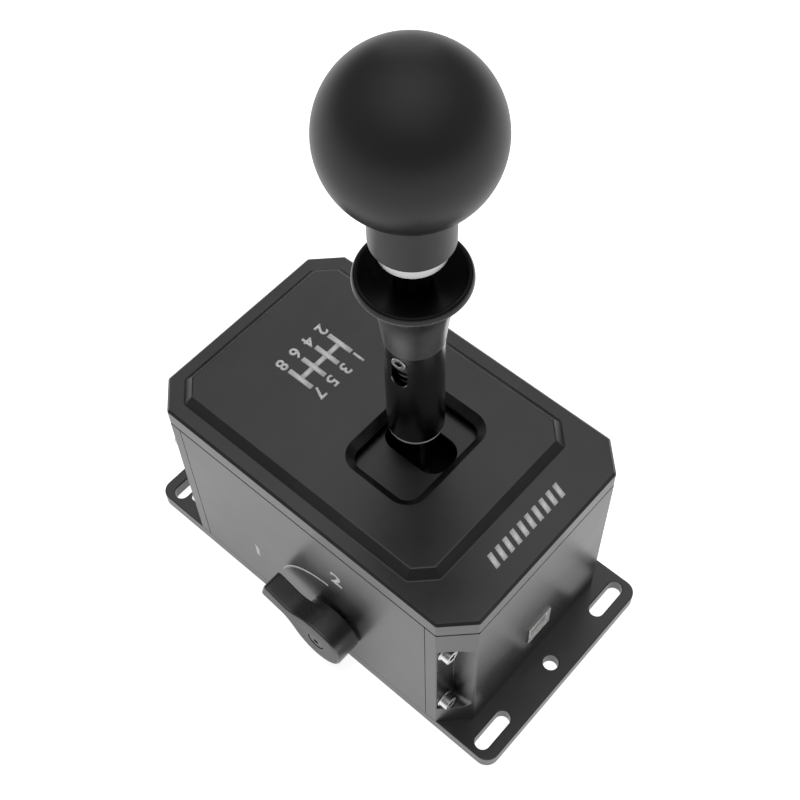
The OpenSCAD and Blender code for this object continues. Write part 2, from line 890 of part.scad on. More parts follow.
module select_magnet() {
    y = -rear_y - bracket_t - 0.5;
    color("#d2d3d4") at_pivot() rod_y(3, y - 2.3, y);
}

module shift_bushes() {
    color("#b08d4a")
    at_pivot()
        for (s = [0, 1])
            mirror([s, 0, 0])
                difference() {
                    union() {
                        rod_x(4.5 - fit, frame_in_x, frame_x);
                        rod_x(6.4, frame_in_x - 1.4, frame_in_x);
                    }
                    rod_x(axle_r + run, frame_in_x - 2, frame_x + 1);
                }
}

module shift_sensor() {
    x = -frame_x - 6;
    color("#1f5a36")
    at_pivot() {
        block([x - 1.5, -11, -6], [x, 11, 6]);
        block([x - eps, -2, -2], [x + 0.9, 2, 2]);
    }
}

// Lever, turning about X in the frame

module lever_hub() {
    color("#8f9193")
    at_pivot()
        difference() {
            union() {
                block([-hub_x, -hub_y, -hub_z], [hub_x, hub_y, hub_z]);
                rod_z(tube_r, -tube_lo, -hub_z + 1);
            }
            rod_x(axle_r + fit, -hub_x - 1, hub_x + 1);
            rod_z(shaft_r + fit, shaft_lo - pz, hub_z + 1);
            rod_z(shift_tip + run, -tube_lo - 1, -axle_r - 2.4);
            translate([0, 0, hub_z - 3]) rod_y(m3, shaft_r, hub_y + 1);
        }
}

module shift_axle() {
    color("#b9bab8") at_pivot() rod_x(axle_r, -frame_x - 1.5, frame_x);
}

module shift_magnet() {
    color("#d2d3d4") at_pivot() rod_x(2.8, -frame_x - 3.8, -frame_x - 1.5);
}

module lever_shaft() {
    color("#3c3c3e")
    at_lever()
        difference() {
            rod_z(shaft_r, shaft_lo, shaft_hi);
            translate([0, 0, guide_z]) rotate([0, 0, guide_az]) rod_x(m3, shaft_r - 2.5, shaft_r + 2);
        }
}

module guide_ring() {
    color("#6d6e70")
    at_lever()
        difference() {
            rod_z(ring_r, ring_lo, ring_hi);
            rod_z(shaft_r + fit, ring_lo - 1, ring_hi + 1);
            translate([0, 0, guide_z]) rotate([0, 0, guide_az]) rod_x(m3 + fit, 0, ring_r + 2);
        }
}

module guide_screw() {
    color("#d2d3d4")
    at_lever() translate([0, 0, guide_z]) rotate([0, 0, guide_az])
        translate([ring_r + 0.03, 0, 0]) rotate([0, 90, 0]) cap_screw(m3 - fit, 2.5, 1.25, ring_r - shaft_r + 2.4);
}

module knob_insert() {
    color("#e2e2e0")
    at_lever()
        difference() {
            union() {
                rod_z(insert_r, insert_z, neck_z);
                rod_z(stem_r, insert_z, stem_hi);
            }
            rod_z(shaft_r + fit, insert_z - 1, shaft_hi + 0.5);
        }
}

module knob_neck() {
    color("#4a4a4c")
    at_lever()
        difference() {
            rod_z(neck_r, neck_z, ball_z - ball_r * 0.62);
            translate([0, 0, ball_z]) sphere(r = ball_r + fit);
            rod_z(stem_r + fit, neck_z - 1, ball_z);
        }
}

module ball_knob() {
    color("#1c1c1d")
    at_lever()
        difference() {
            translate([0, 0, ball_z]) sphere(r = ball_r);
            rod_z(stem_r + fit, ball_z - ball_r - 1, stem_hi + 0.5);
        }
}

// Lift ring, sliding on the lever

// Outer radius of the collar at a share t of its flare
function flare(t) = sleeve_r + 0.2 + 2.8 * t + (collar_r - sleeve_r - 3) * pow(t, 4);

module lift_collar() {
    n = 18;
    rim_z = collar_h - 2.6;
    lip = 1.25;
    outside = [for (i = [0 : n]) [flare(i / n), rim_z * i / n]];
    rim = [for (a = [15 : 15 : 165]) [collar_r - lip + lip * cos(a), rim_z + (collar_h - rim_z) * sin(a)]];
    deep = rim_z - dish_d;
    hole = shaft_r + 0.6;
    color("#77797b")
    at_lever() translate([0, 0, collar_z])
        difference() {
            rotate_extrude() polygon(concat([[0, 0]], outside, rim, [[hole, deep], [0, deep]]));
            rod_z(hole, -1, collar_h);
            rod_z(bore_r, -1, 5.4);
        }
}

module lift_sleeve() {
    edge = 0.6;
    color("#1a1a1b")
    at_lever()
        difference() {
            union() {
                rod_z(sleeve_r, sleeve_z + edge, collar_z);
                translate([0, 0, sleeve_z]) cylinder(r1 = sleeve_r - edge, r2 = sleeve_r, h = edge);
            }
            rod_z(bore_r, sleeve_z - 1, collar_z + 1);
            rotate([0, 0, guide_az]) {
                block([0, -guide_w / 2, slot_lo + guide_w / 2], [sleeve_r + 2, guide_w / 2, guide_z]);
                for (z = [slot_lo + guide_w / 2, guide_z])
                    translate([0, 0, z]) rod_x(guide_w / 2, 0, sleeve_r + 2);
            }
        }
}

module sleeve_cap() {
    color("#9b9c9e")
    at_lever()
        difference() {
            union() {
                translate([0, 0, cap_lo]) cylinder(r1 = shaft_r + 1, r2 = sleeve_r - 0.8, h = sleeve_z - 0.2 - cap_lo);
                rod_z(sleeve_r - 0.8, sleeve_z - 0.2 - eps, sleeve_z);
                rod_z(bore_r - fit, sleeve_z - 0.2, cap_hi);
            }
            rod_z(shaft_r + run, cap_lo - 1, cap_hi + 1);
        }
}

module lift_spring() {
    color("#b9bab8")
    at_lever() translate([0, 0, cap_hi + 0.1])
        coil((shaft_r + bore_r) / 2, 0.18 * (bore_r - shaft_r), ring_lo - cap_hi - 0.2, 10);
}

// Detent plungers

module shift_plunger() {
    color("#c9c9c6")
    at_pivot() {
        translate([0, 0, -shift_at]) sphere(r = shift_tip);
        rod_z(shift_tip, -shift_at, -shift_at + 15);
    }
}

module shift_spring() {
    lo = -shift_at + 15.1;
    color("#b9bab8") at_pivot() translate([0, 0, lo]) coil(2.2, 0.35, -axle_r - 2.5 - lo, 6);
}

module select_plunger() {
    color("#c9c9c6")
    translate([0, select_y, pz]) {
        translate([nose_x, 0, 0]) sphere(r = select_tip);
        rod_x(select_tip, nose_x, body_lo + eps);
        rod_x(body_r, body_lo, body_hi);
        rod_x(tail_r, body_hi - eps, tail_hi);
    }
}

module select_spring() {
    color("#b9bab8")
    translate([body_hi + 0.1, select_y, pz]) rotate([0, 90, 0])
        coil(2.42, 0.3, guide_hi - guide_wall - body_hi - 0.2, 4);
}

// Mode selector, turning about X

// Point on a cubic curve through four control points
function curve(p, t) = pow(1 - t, 3) * p[0] + 3 * t * pow(1 - t, 2) * p[1] + 3 * t * t * (1 - t) * p[2]
    + pow(t, 3) * p[3];

// Upper half outline of the arm, from just inside the hub to the middle of the tip
function arm_side() =
    let (a = 62, w = mode_waist / 2, u = mode_arm * 0.62, tip = mode_tip / 2, r = 1.8)
    let (p0 = (mode_r - 0.4) * [cos(a), sin(a)], p3 = [u, w])
    let (p1 = p0 + 4.8 * [sin(a + 8), -cos(a + 8)], p2 = p3 - [5, 0])
    concat([[0, 0.5 * mode_r]], [for (i = [0 : 8]) curve([p0, p1, p2, p3], i / 8)],
        [for (b = [90 : -15 : 0]) [mode_arm - r + r * cos(b), tip - r + r * sin(b)]]);

// Outline of the arm along +X, its root inside the hub
module arm_outline() {
    side = arm_side();
    n = len(side);
    polygon(concat([for (p = side) [p[0], -p[1]]], [for (i = [n - 1 : -1 : 0]) side[i]]));
}

// Turn a shape drawn flat, +X to the arm's rest direction, so it stands out along +X
module selector_frame() {
    translate([hw, mode_y, mz]) rotate([mode_at, 0, 0]) rotate([90, 0, 90]) children();
}

module mode_knob() {
    color("#353536")
    selector_frame()
        difference() {
            union() {
                translate([0, 0, arm_lo]) linear_extrude(mode_out - arm_lo) arm_outline();
                rod_z(mode_r, mode_lo, mode_out);
            }
            rod_z(spindle_r + fit, 0, mode_out - 3);
            rod_z(m3 + fit, 0, mode_out);
            rod_z(3.75, mode_out - 2.3, mode_out + 1);
        }
}

module mode_screw() {
    color("#2a2a2b")
    selector_frame() translate([0, 0, mode_out - 2.3]) cap_screw(m3 - fit, 3.6, 2, 8);
}

module mode_spindle() {
    color("#b9bab8")
    translate([0, mode_y, mz])
        difference() {
            union() {
                rod_x(spindle_r, crank_lo, mode_front - 3.1);
                rod_x(crank_r + 2.5, crank_lo, crank_hi);
                translate([0, crank_r * cos(crank_at), crank_r * sin(crank_at)])
                    rod_x(crank_pin, crank_hi - eps, slide_hi + 0.15);
            }
            rod_x(m3, mode_front - 11, mode_front);
        }
}

module mode_slide() {
    pin = [mode_y + crank_r * cos(crank_at), mz + crank_r * sin(crank_at)];
    lo = slide_lo - 1;
    hi = slide_hi + 1;
    end = slide_screws[1] - slide_run - 5;
    color("#a4a6a8")
    difference() {
        union() {
            block([slide_lo, end, mz - 8], [slide_hi, mode_y + 10, mz + 13]);
            block([slide_lo, select_y - slide_run - 6, mz], [slide_hi, select_y + 6, pz + 5]);
        }
        slot_yz([mode_y - slide_run, mz], [mode_y, mz], spindle_r + 0.4, lo, hi);
        slot_yz(pin, [pin[0], mz + crank_r], crank_pin + 0.3, lo, hi);
        for (y = slide_screws)
            slot_yz([y - slide_run, slide_screw_z], [y, slide_screw_z], 2.2, lo, hi);
        translate([0, select_y, pz]) rod_x(tail_r + 0.7, lo, hi);
    }
}

// Dust plate, sliding with the lever

module dust_plate() {
    color("#242425")
    difference() {
        block([dust_x[0], dust_y[0], dust_z], [dust_x[1], dust_y[1], dust_z + dust_t]);
        at_lever() translate(dust_slot_at)
            round_box(dust_slot_w, dust_slot_l, dust_slot_r, dust_z - 1, dust_z + dust_t + 1);
    }
}

base_plate();
front_block();
rear_block();
left_panel();
right_panel();
top_cover();
corner_screws();
base_screws();
cover_screws();
front_bracket();
rear_bracket();
bracket_screws();
select_bearings();
detent_block();
detent_screws();
plunger_guide();
guide_block_screws();
front_rail();
rear_rail();
rail_screws();
control_board();
board_chips();
board_screws();
usb_shell();
usb_insulator();
select_sensor();
mode_bush();
slide_screws();
gimbal_frame();
select_axles();
select_cam();
select_magnet();
shift_bushes();
shift_sensor();
lever_hub();
shift_axle();
shift_magnet();
lever_shaft();
guide_ring();
guide_screw();
knob_insert();
knob_neck();
ball_knob();
lift_collar();
lift_sleeve();
sleeve_cap();
lift_spring();
shift_plunger();
shift_spring();
select_plunger();
select_spring();
mode_knob();
mode_spindle();
mode_screw();
mode_slide();
dust_plate();
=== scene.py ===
import json
import math
import bmesh
import bpy
import numpy as np
from mathutils import Matrix, Vector
from mathutils.geometry import delaunay_2d_cdt

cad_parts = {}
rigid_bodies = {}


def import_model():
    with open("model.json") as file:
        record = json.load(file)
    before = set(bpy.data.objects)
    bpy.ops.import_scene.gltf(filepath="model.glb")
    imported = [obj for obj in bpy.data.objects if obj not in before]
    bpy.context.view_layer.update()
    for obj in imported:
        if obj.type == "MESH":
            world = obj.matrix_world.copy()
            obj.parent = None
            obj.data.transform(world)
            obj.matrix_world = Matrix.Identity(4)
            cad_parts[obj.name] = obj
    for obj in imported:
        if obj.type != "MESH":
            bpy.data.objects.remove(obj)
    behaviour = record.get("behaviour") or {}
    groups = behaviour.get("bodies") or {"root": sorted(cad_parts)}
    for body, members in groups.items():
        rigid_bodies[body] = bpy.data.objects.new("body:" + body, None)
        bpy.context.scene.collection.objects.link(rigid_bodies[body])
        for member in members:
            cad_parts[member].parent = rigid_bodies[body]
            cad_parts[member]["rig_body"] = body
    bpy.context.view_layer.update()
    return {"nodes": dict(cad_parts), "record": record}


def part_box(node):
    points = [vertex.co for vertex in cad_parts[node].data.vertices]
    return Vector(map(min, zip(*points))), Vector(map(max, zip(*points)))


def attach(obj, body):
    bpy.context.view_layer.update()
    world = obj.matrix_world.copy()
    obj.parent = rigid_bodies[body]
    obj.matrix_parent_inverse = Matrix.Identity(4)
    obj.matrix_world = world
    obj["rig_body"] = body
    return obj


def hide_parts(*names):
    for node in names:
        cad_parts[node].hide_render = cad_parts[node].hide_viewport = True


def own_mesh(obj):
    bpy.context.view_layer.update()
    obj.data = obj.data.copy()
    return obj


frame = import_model()
nodes = frame["nodes"]
slotOf = {p["node"]: p["material_slot"] for p in frame["record"]["subparts"]}
mm = 0.001
print("frame loaded:", len(nodes), "solids")


# low and high corner of a solid, in millimetres
def boxMm(node):
    low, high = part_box(node)
    return np.round(np.array(low) / mm, 3), np.round(np.array(high) / mm, 3)


# Shared surfaces

# polyline with rounded corners: each corner becomes an arc tangent to both of its sides
def roundCorners(points, radius, steps=5, closed=False):
    p = np.asarray(points, float)
    r = np.broadcast_to(np.asarray(radius, float), len(p))[:, None]
    a, b = np.roll(p, 1, 0) - p, np.roll(p, -1, 0) - p
    a = a / np.linalg.norm(a, axis=1, keepdims=True)
    b = b / np.linalg.norm(b, axis=1, keepdims=True)
    half = np.arccos(np.clip((a * b).sum(1, keepdims=True), -1, 1)) / 2
    bisector = a + b
    bisector = bisector / np.maximum(np.linalg.norm(bisector, axis=1, keepdims=True), 1e-12)
    centre = p + bisector * r / np.sin(half)
    u, v = p + a * r / np.tan(half) - centre, p + b * r / np.tan(half) - centre
    t = np.linspace(0, 1, steps)[None, :, None]
    sweep = np.maximum(np.pi - 2 * half, 1e-6)[:, None, :]
    arc = (np.sin((1 - t) * sweep) * u[:, None] + np.sin(t * sweep) * v[:, None]) / np.sin(sweep)
    arcs = centre[:, None] + arc
    if closed:
        return arcs.reshape(-1, 2)
    return np.concatenate([p[:1], arcs[1:-1].reshape(-1, 2), p[-1:]])


# rectangle with its four corners cut at 45 degrees, moved in by an inset
def octagonLoop(width, length, cut, inset, radius, middle=(0, 0), least=0.15):
    x, y, c = width / 2 - inset, length / 2 - inset, cut - inset * (2 - math.sqrt(2))
    corners = [[x, y - c], [x - c, y], [c - x, y], [-x, y - c],
               [-x, c - y], [c - x, -y], [x - c, -y], [x, c - y]]
    return roundCorners(corners, max(radius - inset, least), 5, True) + np.array(middle)


# rectangle with round corners, grown by an offset
def roundedLoop(width, length, radius, grow=0.0, middle=(0, 0), steps=11):
    x, y = width / 2 + grow, length / 2 + grow
    return roundCorners([[x, y], [-x, y], [-x, -y], [x, -y]], radius + grow, steps, True) + np.array(middle)


# circle of points in a plane
def circleLoop(radius, steps=48, middle=(0, 0)):
    a = np.linspace(0, 2 * np.pi, steps, endpoint=False)
    return np.stack([radius * np.cos(a), radius * np.sin(a)], 1) + np.array(middle)


# two straight sides and two half circles, along the second axis
def stadiumLoop(half, radius, middle=(0, 0), steps=24):
    a = np.linspace(0, np.pi, steps)
    top = np.stack([radius * np.cos(a), half + radius * np.sin(a)], 1)
    return np.concatenate([top, -top]) + np.array(middle)


# flat loop lifted to a height: (n, 2) to (n, 3)
def lift(loop, height):
    return np.column_stack([loop, np.full(len(loop), float(height))])


# rings (K, N, 3) joined by four-sided faces round and along
def loft(rings, wrap=False):
    rings = np.asarray(rings, float)
    count, steps = rings.shape[:2]
    row = np.arange(count if wrap else count - 1)[:, None]
    col = np.arange(steps)[None, :]
    nextRow, nextCol = (row + 1) % count, (col + 1) % steps
    lower = row * steps + col, row * steps + nextCol
    upper = nextRow * steps + nextCol, nextRow * steps + col
    return rings.reshape(-1, 3), np.stack([*lower, *upper], -1).reshape(-1, 4)


# profile (radius, height) turned about an upright axis: (r cos a, r sin a, z)
def turned(profile, axis, steps=96, wrap=False):
    profile = np.asarray(profile, float)
    a = np.linspace(0, 2 * np.pi, steps, endpoint=False)
    x = axis[0] + profile[:, :1] * np.cos(a)
    y = axis[1] + profile[:, :1] * np.sin(a)
    return loft(np.stack([x, y, np.repeat(profile[:, 1:], steps, 1)], -1), wrap)


# true for the points of p that lie inside a closed loop: an odd count of edges crossed
def insideLoop(p, loop):
    a, b = loop[None], np.roll(loop, -1, 0)[None]
    x, y = p[:, :1], p[:, 1:]
    across = (a[..., 1] > y) != (b[..., 1] > y)
    rise = np.where(b[..., 1] == a[..., 1], 1, b[..., 1] - a[..., 1])
    return ((x < a[..., 0] + (y - a[..., 1]) * (b[..., 0] - a[..., 0]) / rise) & across).sum(1) % 2 == 1


# triangles that fill a loop and leave its holes open, with any extra points used as corners
def fillFlat(outer, holes=(), extra=None):
    loops = [outer, *holes]
    sizes = np.cumsum([0] + [len(l) for l in loops])
    edges = np.concatenate([np.stack([np.arange(n), (np.arange(n) + 1) % n], 1) + s
                            for s, n in zip(sizes, [len(l) for l in loops])])
    points = np.concatenate(loops if extra is None else [*loops, extra])
    made = delaunay_2d_cdt([Vector(q) for q in points.tolist()], edges.tolist(), [], 0, 1e-6)
    flat, tri = np.array([q[:] for q in made[0]]), np.array(made[2])
    mid = flat[tri].mean(1)
    keep = insideLoop(mid, outer)
    for hole in holes:
        keep &= ~insideLoop(mid, hole)
    return flat, tri[keep]


# Pieces and their looks

weld = dict(seam=1e-6, sliver=1e-7, solid=2e-6, flatDeg=0.6)


# mesh from parts (points in millimetres, faces), seams merged, faces turned outwards
def makePiece(name, parts, look, body, stands=(), sharp=38, closed=True):
    points, faces, start = [], [], 0
    for p, f in parts:
        p = np.reshape(np.asarray(p, float), (-1, 3))
        points.append(p)
        faces += (np.asarray(f) + start).tolist()
        start += len(p)
    mesh = bpy.data.meshes.new(name)
    mesh.from_pydata((np.concatenate(points) * mm).tolist(), [], faces)
    work = bmesh.new()
    work.from_mesh(mesh)
    bmesh.ops.remove_doubles(work, verts=work.verts, dist=weld["seam"])
    bmesh.ops.dissolve_degenerate(work, edges=work.edges, dist=weld["sliver"])
    if closed:
        bmesh.ops.recalc_face_normals(work, faces=work.faces)
    return finishPiece(name, mesh, work, look, body, stands, sharp)


# merged copy of a solid, its flat faces made whole, its edges broken by a bevel, its length less a seam
def dressSolid(node, look, edge, seam=0.0, sharp=30):
    mesh = bpy.data.meshes.new(node + "Dressed")
    work = bmesh.new()
    work.from_mesh(nodes[node].data)
    bmesh.ops.scale(work, vec=(1, 1 - seam, 1), verts=work.verts)
    bmesh.ops.remove_doubles(work, verts=work.verts, dist=weld["solid"])
    flat = math.radians(weld["flatDeg"])
    bmesh.ops.dissolve_limit(work, angle_limit=flat, verts=work.verts, edges=work.edges)
    piece = finishPiece(mesh.name, mesh, work, look, nodes[node]["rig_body"], (node,), sharp)
    bevel = piece.modifiers.new("edgeBreak", "BEVEL")
    bevel.width, bevel.segments = edge * mm, 2
    bevel.limit_method, bevel.angle_limit = "ANGLE", math.radians(sharp + 2)
    bevel.use_clamp_overlap, bevel.harden_normals = False, True
    piece.modifiers.move(len(piece.modifiers) - 1, 0)
    return piece


# the worked mesh as an object with its look, even shading, its body and the solids it stands for
def finishPiece(name, mesh, work, look, body, stands, sharp):
    work.to_mesh(mesh)
    work.free()
    mesh.polygons.foreach_set("use_smooth", np.ones(len(mesh.polygons), bool))
    mesh.set_sharp_from_angle(angle=math.radians(sharp))
    mesh.materials.clear()
    mesh.materials.append(look)
    piece = bpy.data.objects.new(name, mesh)
    bpy.context.scene.collection.objects.link(piece)
    normals = piece.modifiers.new("evenNormals", "WEIGHTED_NORMAL")
    normals.keep_sharp = True
    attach(piece, body)
    if stands:
        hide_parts(*stands)
    return piece


# second look on the faces whose corners all pass a test on their places in millimetres
def paintFaces(piece, look, test):
    mesh = piece.data
    points = np.zeros(len(mesh.vertices) * 3)
    mesh.vertices.foreach_get("co", points)
    passed = test(points.reshape(-1, 3) / mm)
    starts, corners = np.zeros(len(mesh.polygons), int), np.zeros(len(mesh.loops), int)
    mesh.polygons.foreach_get("loop_start", starts)
    mesh.loops.foreach_get("vertex_index", corners)
    chosen = np.minimum.reduceat(passed[corners].astype(int), starts)
    mesh.materials.append(look)
    indices = np.zeros(len(mesh.polygons), int)
    mesh.polygons.foreach_get("material_index", indices)
    mesh.polygons.foreach_set("material_index", np.where(chosen, len(mesh.materials) - 1, indices))


# material with its shader and the object coordinates that its textures read
def startLook(name, **sockets):
    look = bpy.data.materials.new(name)
    look.use_nodes = True
    tree = look.node_tree
    shader = tree.nodes["Principled BSDF"]
    for socket, value in sockets.items():
        shader.inputs[socket.replace("_", " ")].default_value = value
    coords = tree.nodes.new("ShaderNodeTexCoord").outputs["Object"]
    return look, tree, shader, coords


# noise on stretched object coordinates, scale in waves per metre
def grain(tree, coords, scale, stretch=(1, 1, 1), detail=3.0, rough=0.55):
    mapping = tree.nodes.new("ShaderNodeMapping")
    mapping.inputs["Scale"].default_value = stretch
    tree.links.new(coords, mapping.inputs["Vector"])
    noise = tree.nodes.new("ShaderNodeTexNoise")
    noise.inputs["Scale"].default_value = scale
    noise.inputs["Detail"].default_value = detail
    noise.inputs["Roughness"].default_value = rough
    tree.links.new(mapping.outputs["Vector"], noise.inputs["Vector"])
    return noise.outputs["Fac"]


# the part of a noise's range that tone and roughness are spread over
noiseSpan = (0.3, 0.7)


# colour between two tones
def tint(tree, shader, fac, dark, light):
    ramp = tree.nodes.new("ShaderNodeValToRGB")
    first, last = ramp.color_ramp.elements
    first.position, last.position = noiseSpan
    first.color, last.color = (*dark, 1), (*light, 1)
    tree.links.new(fac, ramp.inputs["Fac"])
    tree.links.new(ramp.outputs["Color"], shader.inputs["Base Color"])


# roughness between two values
def gloss(tree, shader, fac, low, high):
    span = tree.nodes.new("ShaderNodeMapRange")
    span.inputs["From Min"].default_value, span.inputs["From Max"].default_value = noiseSpan
    span.inputs["To Min"].default_value, span.inputs["To Max"].default_value = low, high
    tree.links.new(fac, span.inputs["Value"])
    tree.links.new(span.outputs["Result"], shader.inputs["Roughness"])


# small height differences, depth in millimetres
def relief(tree, shader, fac, strength, depth):
    bump = tree.nodes.new("ShaderNodeBump")
    bump.inputs["Strength"].default_value = strength
    bump.inputs["Distance"].default_value = depth * mm
    tree.links.new(fac, bump.inputs["Height"])
    tree.links.new(bump.outputs["Normal"], shader.inputs["Normal"])


# grey as red, green and blue, a little warmer where asked
def grey(value, warm=0.0):
    return (value * (1 + warm), value, value * (1 - warm))


# one recipe: two tones from broad clouds, roughness from the same clouds, fine grain as relief
def plainLook(name, dark, light, rough, cloud, fine, depth, strength=0.3, stretch=(1, 1, 1), **sockets):
    look, tree, shader, coords = startLook(name, **sockets)
    clouds = grain(tree, coords, cloud)
    tint(tree, shader, clouds, dark, light)
    gloss(tree, shader, clouds, *rough)
    relief(tree, shader, grain(tree, coords, fine, stretch, 2.0), strength, depth)
    return look


lookValues = {
    "anodised": dict(dark=grey(0.137), light=grey(0.153), rough=(0.29, 0.34), cloud=60, fine=5200,
                     depth=0.02, strength=0.12, Metallic=1.0),
    "sleeve_black": dict(dark=grey(0.15), light=grey(0.165), rough=(0.2, 0.22), cloud=90, fine=2600,
                         depth=0.01, strength=0.05, stretch=(0.02, 0.02, 1), Metallic=1.0),
    "collar_grey": dict(dark=grey(0.36), light=grey(0.4), rough=(0.28, 0.34), cloud=80, fine=2400,
                        depth=0.015, strength=0.1, stretch=(0.02, 0.02, 1), Metallic=1.0),
    "dish_painted_shade": dict(dark=grey(0.04), light=grey(0.047), rough=(0.24, 0.3), cloud=80, fine=2400,
                       depth=0.01, strength=0.08, stretch=(0.02, 0.02, 1), Metallic=1.0),
    "well_painted_shade": dict(dark=grey(0.014), light=grey(0.018), rough=(0.26, 0.32), cloud=80, fine=2400,
                       depth=0.01, strength=0.08, stretch=(0.02, 0.02, 1), Metallic=1.0),
    "neck_grey": dict(dark=grey(0.05), light=grey(0.06), rough=(0.3, 0.36), cloud=80, fine=2400,
                      depth=0.015, strength=0.1, stretch=(0.02, 0.02, 1), Metallic=1.0),
    "bare_aluminium": dict(dark=grey(0.58), light=grey(0.66), rough=(0.26, 0.36), cloud=70, fine=3000,
                           depth=0.02, strength=0.2, stretch=(0.05, 1, 1), Metallic=1.0),
    "steel": dict(dark=grey(0.74), light=grey(0.82), rough=(0.18, 0.26), cloud=300, fine=5000, depth=0.01,
                  strength=0.12, stretch=(1, 0.1, 1), Metallic=1.0),
    "dark_steel": dict(dark=grey(0.1), light=grey(0.13), rough=(0.32, 0.42), cloud=300, fine=5000,
                       depth=0.01, strength=0.15, Metallic=1.0),
    "black_chrome": dict(dark=grey(0.36), light=grey(0.42), rough=(0.2, 0.26), cloud=120, fine=3000,
                         depth=0.008, strength=0.05, stretch=(0.02, 0.02, 1), Metallic=1.0),
    "insert_silver": dict(dark=grey(0.6), light=grey(0.66), rough=(0.22, 0.3), cloud=200, fine=3600,
                          depth=0.01, strength=0.1, stretch=(0.02, 0.02, 1), Metallic=1.0),
    "ball_black": dict(dark=grey(0.022), light=grey(0.025), rough=(0.33, 0.38), cloud=45, fine=4200,
                       depth=0.02, strength=0.12, Specular_IOR_Level=0.38),
    "selector_grey": dict(dark=grey(0.15), light=grey(0.17), rough=(0.24, 0.29), cloud=90, fine=2600,
                          depth=0.03, strength=0.2, Metallic=0.85, Specular_IOR_Level=0.4),
    "selector_face_painted_shade": dict(dark=grey(0.034), light=grey(0.042), rough=(0.3, 0.36), cloud=90, fine=2600,
                          depth=0.03, strength=0.2, Metallic=0.5, Specular_IOR_Level=0.25),
    "brass": dict(dark=(0.6, 0.44, 0.2), light=(0.7, 0.54, 0.27), rough=(0.25, 0.34), cloud=150,
                  fine=3000, depth=0.015, strength=0.15, stretch=(1, 0.05, 0.05), Metallic=1.0),
    "board_green": dict(dark=(0.02, 0.12, 0.06), light=(0.03, 0.17, 0.085), rough=(0.3, 0.4), cloud=500,
                        fine=900, depth=0.03, strength=0.3),
    "chip_black": dict(dark=grey(0.014), light=grey(0.02), rough=(0.45, 0.55), cloud=600, fine=6000,
                       depth=0.01, strength=0.2),
    "socket_white": dict(dark=grey(0.84, 0.01), light=grey(0.9, 0.01), rough=(0.4, 0.48), cloud=400,
                         fine=5000, depth=0.01, strength=0.1),
    "rail_white": dict(dark=grey(0.6, 0.02), light=grey(0.67, 0.02), rough=(0.42, 0.5), cloud=200,
                       fine=4000, depth=0.015, strength=0.2),
    "magnet": dict(dark=grey(0.66), light=grey(0.74), rough=(0.12, 0.2), cloud=300, fine=4000, depth=0.01,
                   strength=0.1, Metallic=1.0),
    "dust_black": dict(dark=grey(0.115), light=grey(0.13), rough=(0.3, 0.35), cloud=90, fine=5200,
                       depth=0.02, strength=0.12, Metallic=1.0),
    "print": dict(dark=grey(0.86), light=grey(0.92), rough=(0.48, 0.56), cloud=900, fine=4000, depth=0.01,
                  strength=0.15, Metallic=0.3),
    "screw_zinc": dict(dark=grey(0.86), light=grey(0.93), rough=(0.34, 0.42), cloud=500, fine=5000,
                       depth=0.01, strength=0.12, Metallic=1.0),
    "recess_shade": dict(dark=grey(0.05), light=grey(0.06), rough=(0.26, 0.32), cloud=60, fine=5200,
                         depth=0.02, strength=0.1, Metallic=1.0),
    "hex_shade": dict(dark=grey(0.03), light=grey(0.045), rough=(0.4, 0.5), cloud=900, fine=5000,
                      depth=0.01, strength=0.2, Metallic=1.0),
    "contact": dict(dark=(0.75, 0.55, 0.25), light=(0.82, 0.63, 0.32), rough=(0.2, 0.28), cloud=700,
                    fine=5000, depth=0.005, strength=0.1, Metallic=1.0),
}
looks = {name: plainLook(name, **values) for name, values in lookValues.items()}
for node, slot in slotOf.items():
    nodes[node].data.materials.clear()
    nodes[node].data.materials.append(looks[slot])
print("looks made:", len(looks))

# Lever: everything turned about the lever's axis

ballLow, ballHigh = boxMm("ball_knob")
leverAxis = (ballLow[:2] + ballHigh[:2]) / 2
ball = dict(radius=(ballHigh[0] - ballLow[0]) / 2, top=ballHigh[2], bore=8.02, boreTop=214.8, steps=72)


# half circle from the bore's rim up to the pole, r = R cos a, z = c + R sin a, then the bore
def ballProfile(radius, top, bore, boreTop, steps):
    centre = top - radius
    a = np.linspace(-math.acos(bore / radius), np.pi / 2, steps)
    arc = np.stack([radius * np.cos(a), centre + radius * np.sin(a)], 1)
    return np.concatenate([[[0, boreTop], [bore, boreTop]], arc])


ballCentre = ball["top"] - ball["radius"]
makePiece("ballKnob", [turned(ballProfile(**ball), leverAxis, 128)], looks["ball_black"],
          "lever", ["ball_knob"])

neckLow, neckHigh = boxMm("knob_neck")
neck = dict(radius=(neckHigh[0] - neckLow[0]) / 2, foot=neckLow[2], bore=8.02, edge=0.5, seat=0.02,
            rimDrop=0.3, rimIn=0.35)


# upright wall with a rounded foot; its top follows the ball from the wall in to the bore
def neckProfile(radius, foot, bore, edge, seat, rimDrop, rimIn):
    sphere = ball["radius"] + seat
    rim = ballCentre - math.sqrt(sphere ** 2 - radius ** 2)
    wall = roundCorners([[bore, foot], [radius, foot], [radius, rim - rimDrop]], edge, 6)
    a = np.linspace(math.acos((radius - rimIn) / sphere), math.acos(bore / sphere), 16)
    seatArc = np.stack([sphere * np.cos(a), ballCentre - sphere * np.sin(a)], 1)
    return np.concatenate([wall, seatArc])


makePiece("knobNeck", [turned(neckProfile(**neck), leverAxis, 96, True)], looks["neck_grey"],
          "lever", ["knob_neck"])

insertLow, insertHigh = boxMm("knob_insert")
insert = dict(radius=(insertHigh[0] - insertLow[0]) / 2, foot=insertLow[2], rim=neckLow[2], stem=8.0,
              stemTop=insertHigh[2], bore=5.02, boreTop=203.7, edges=(0, 0.4, 0.6, 0.15, 0))


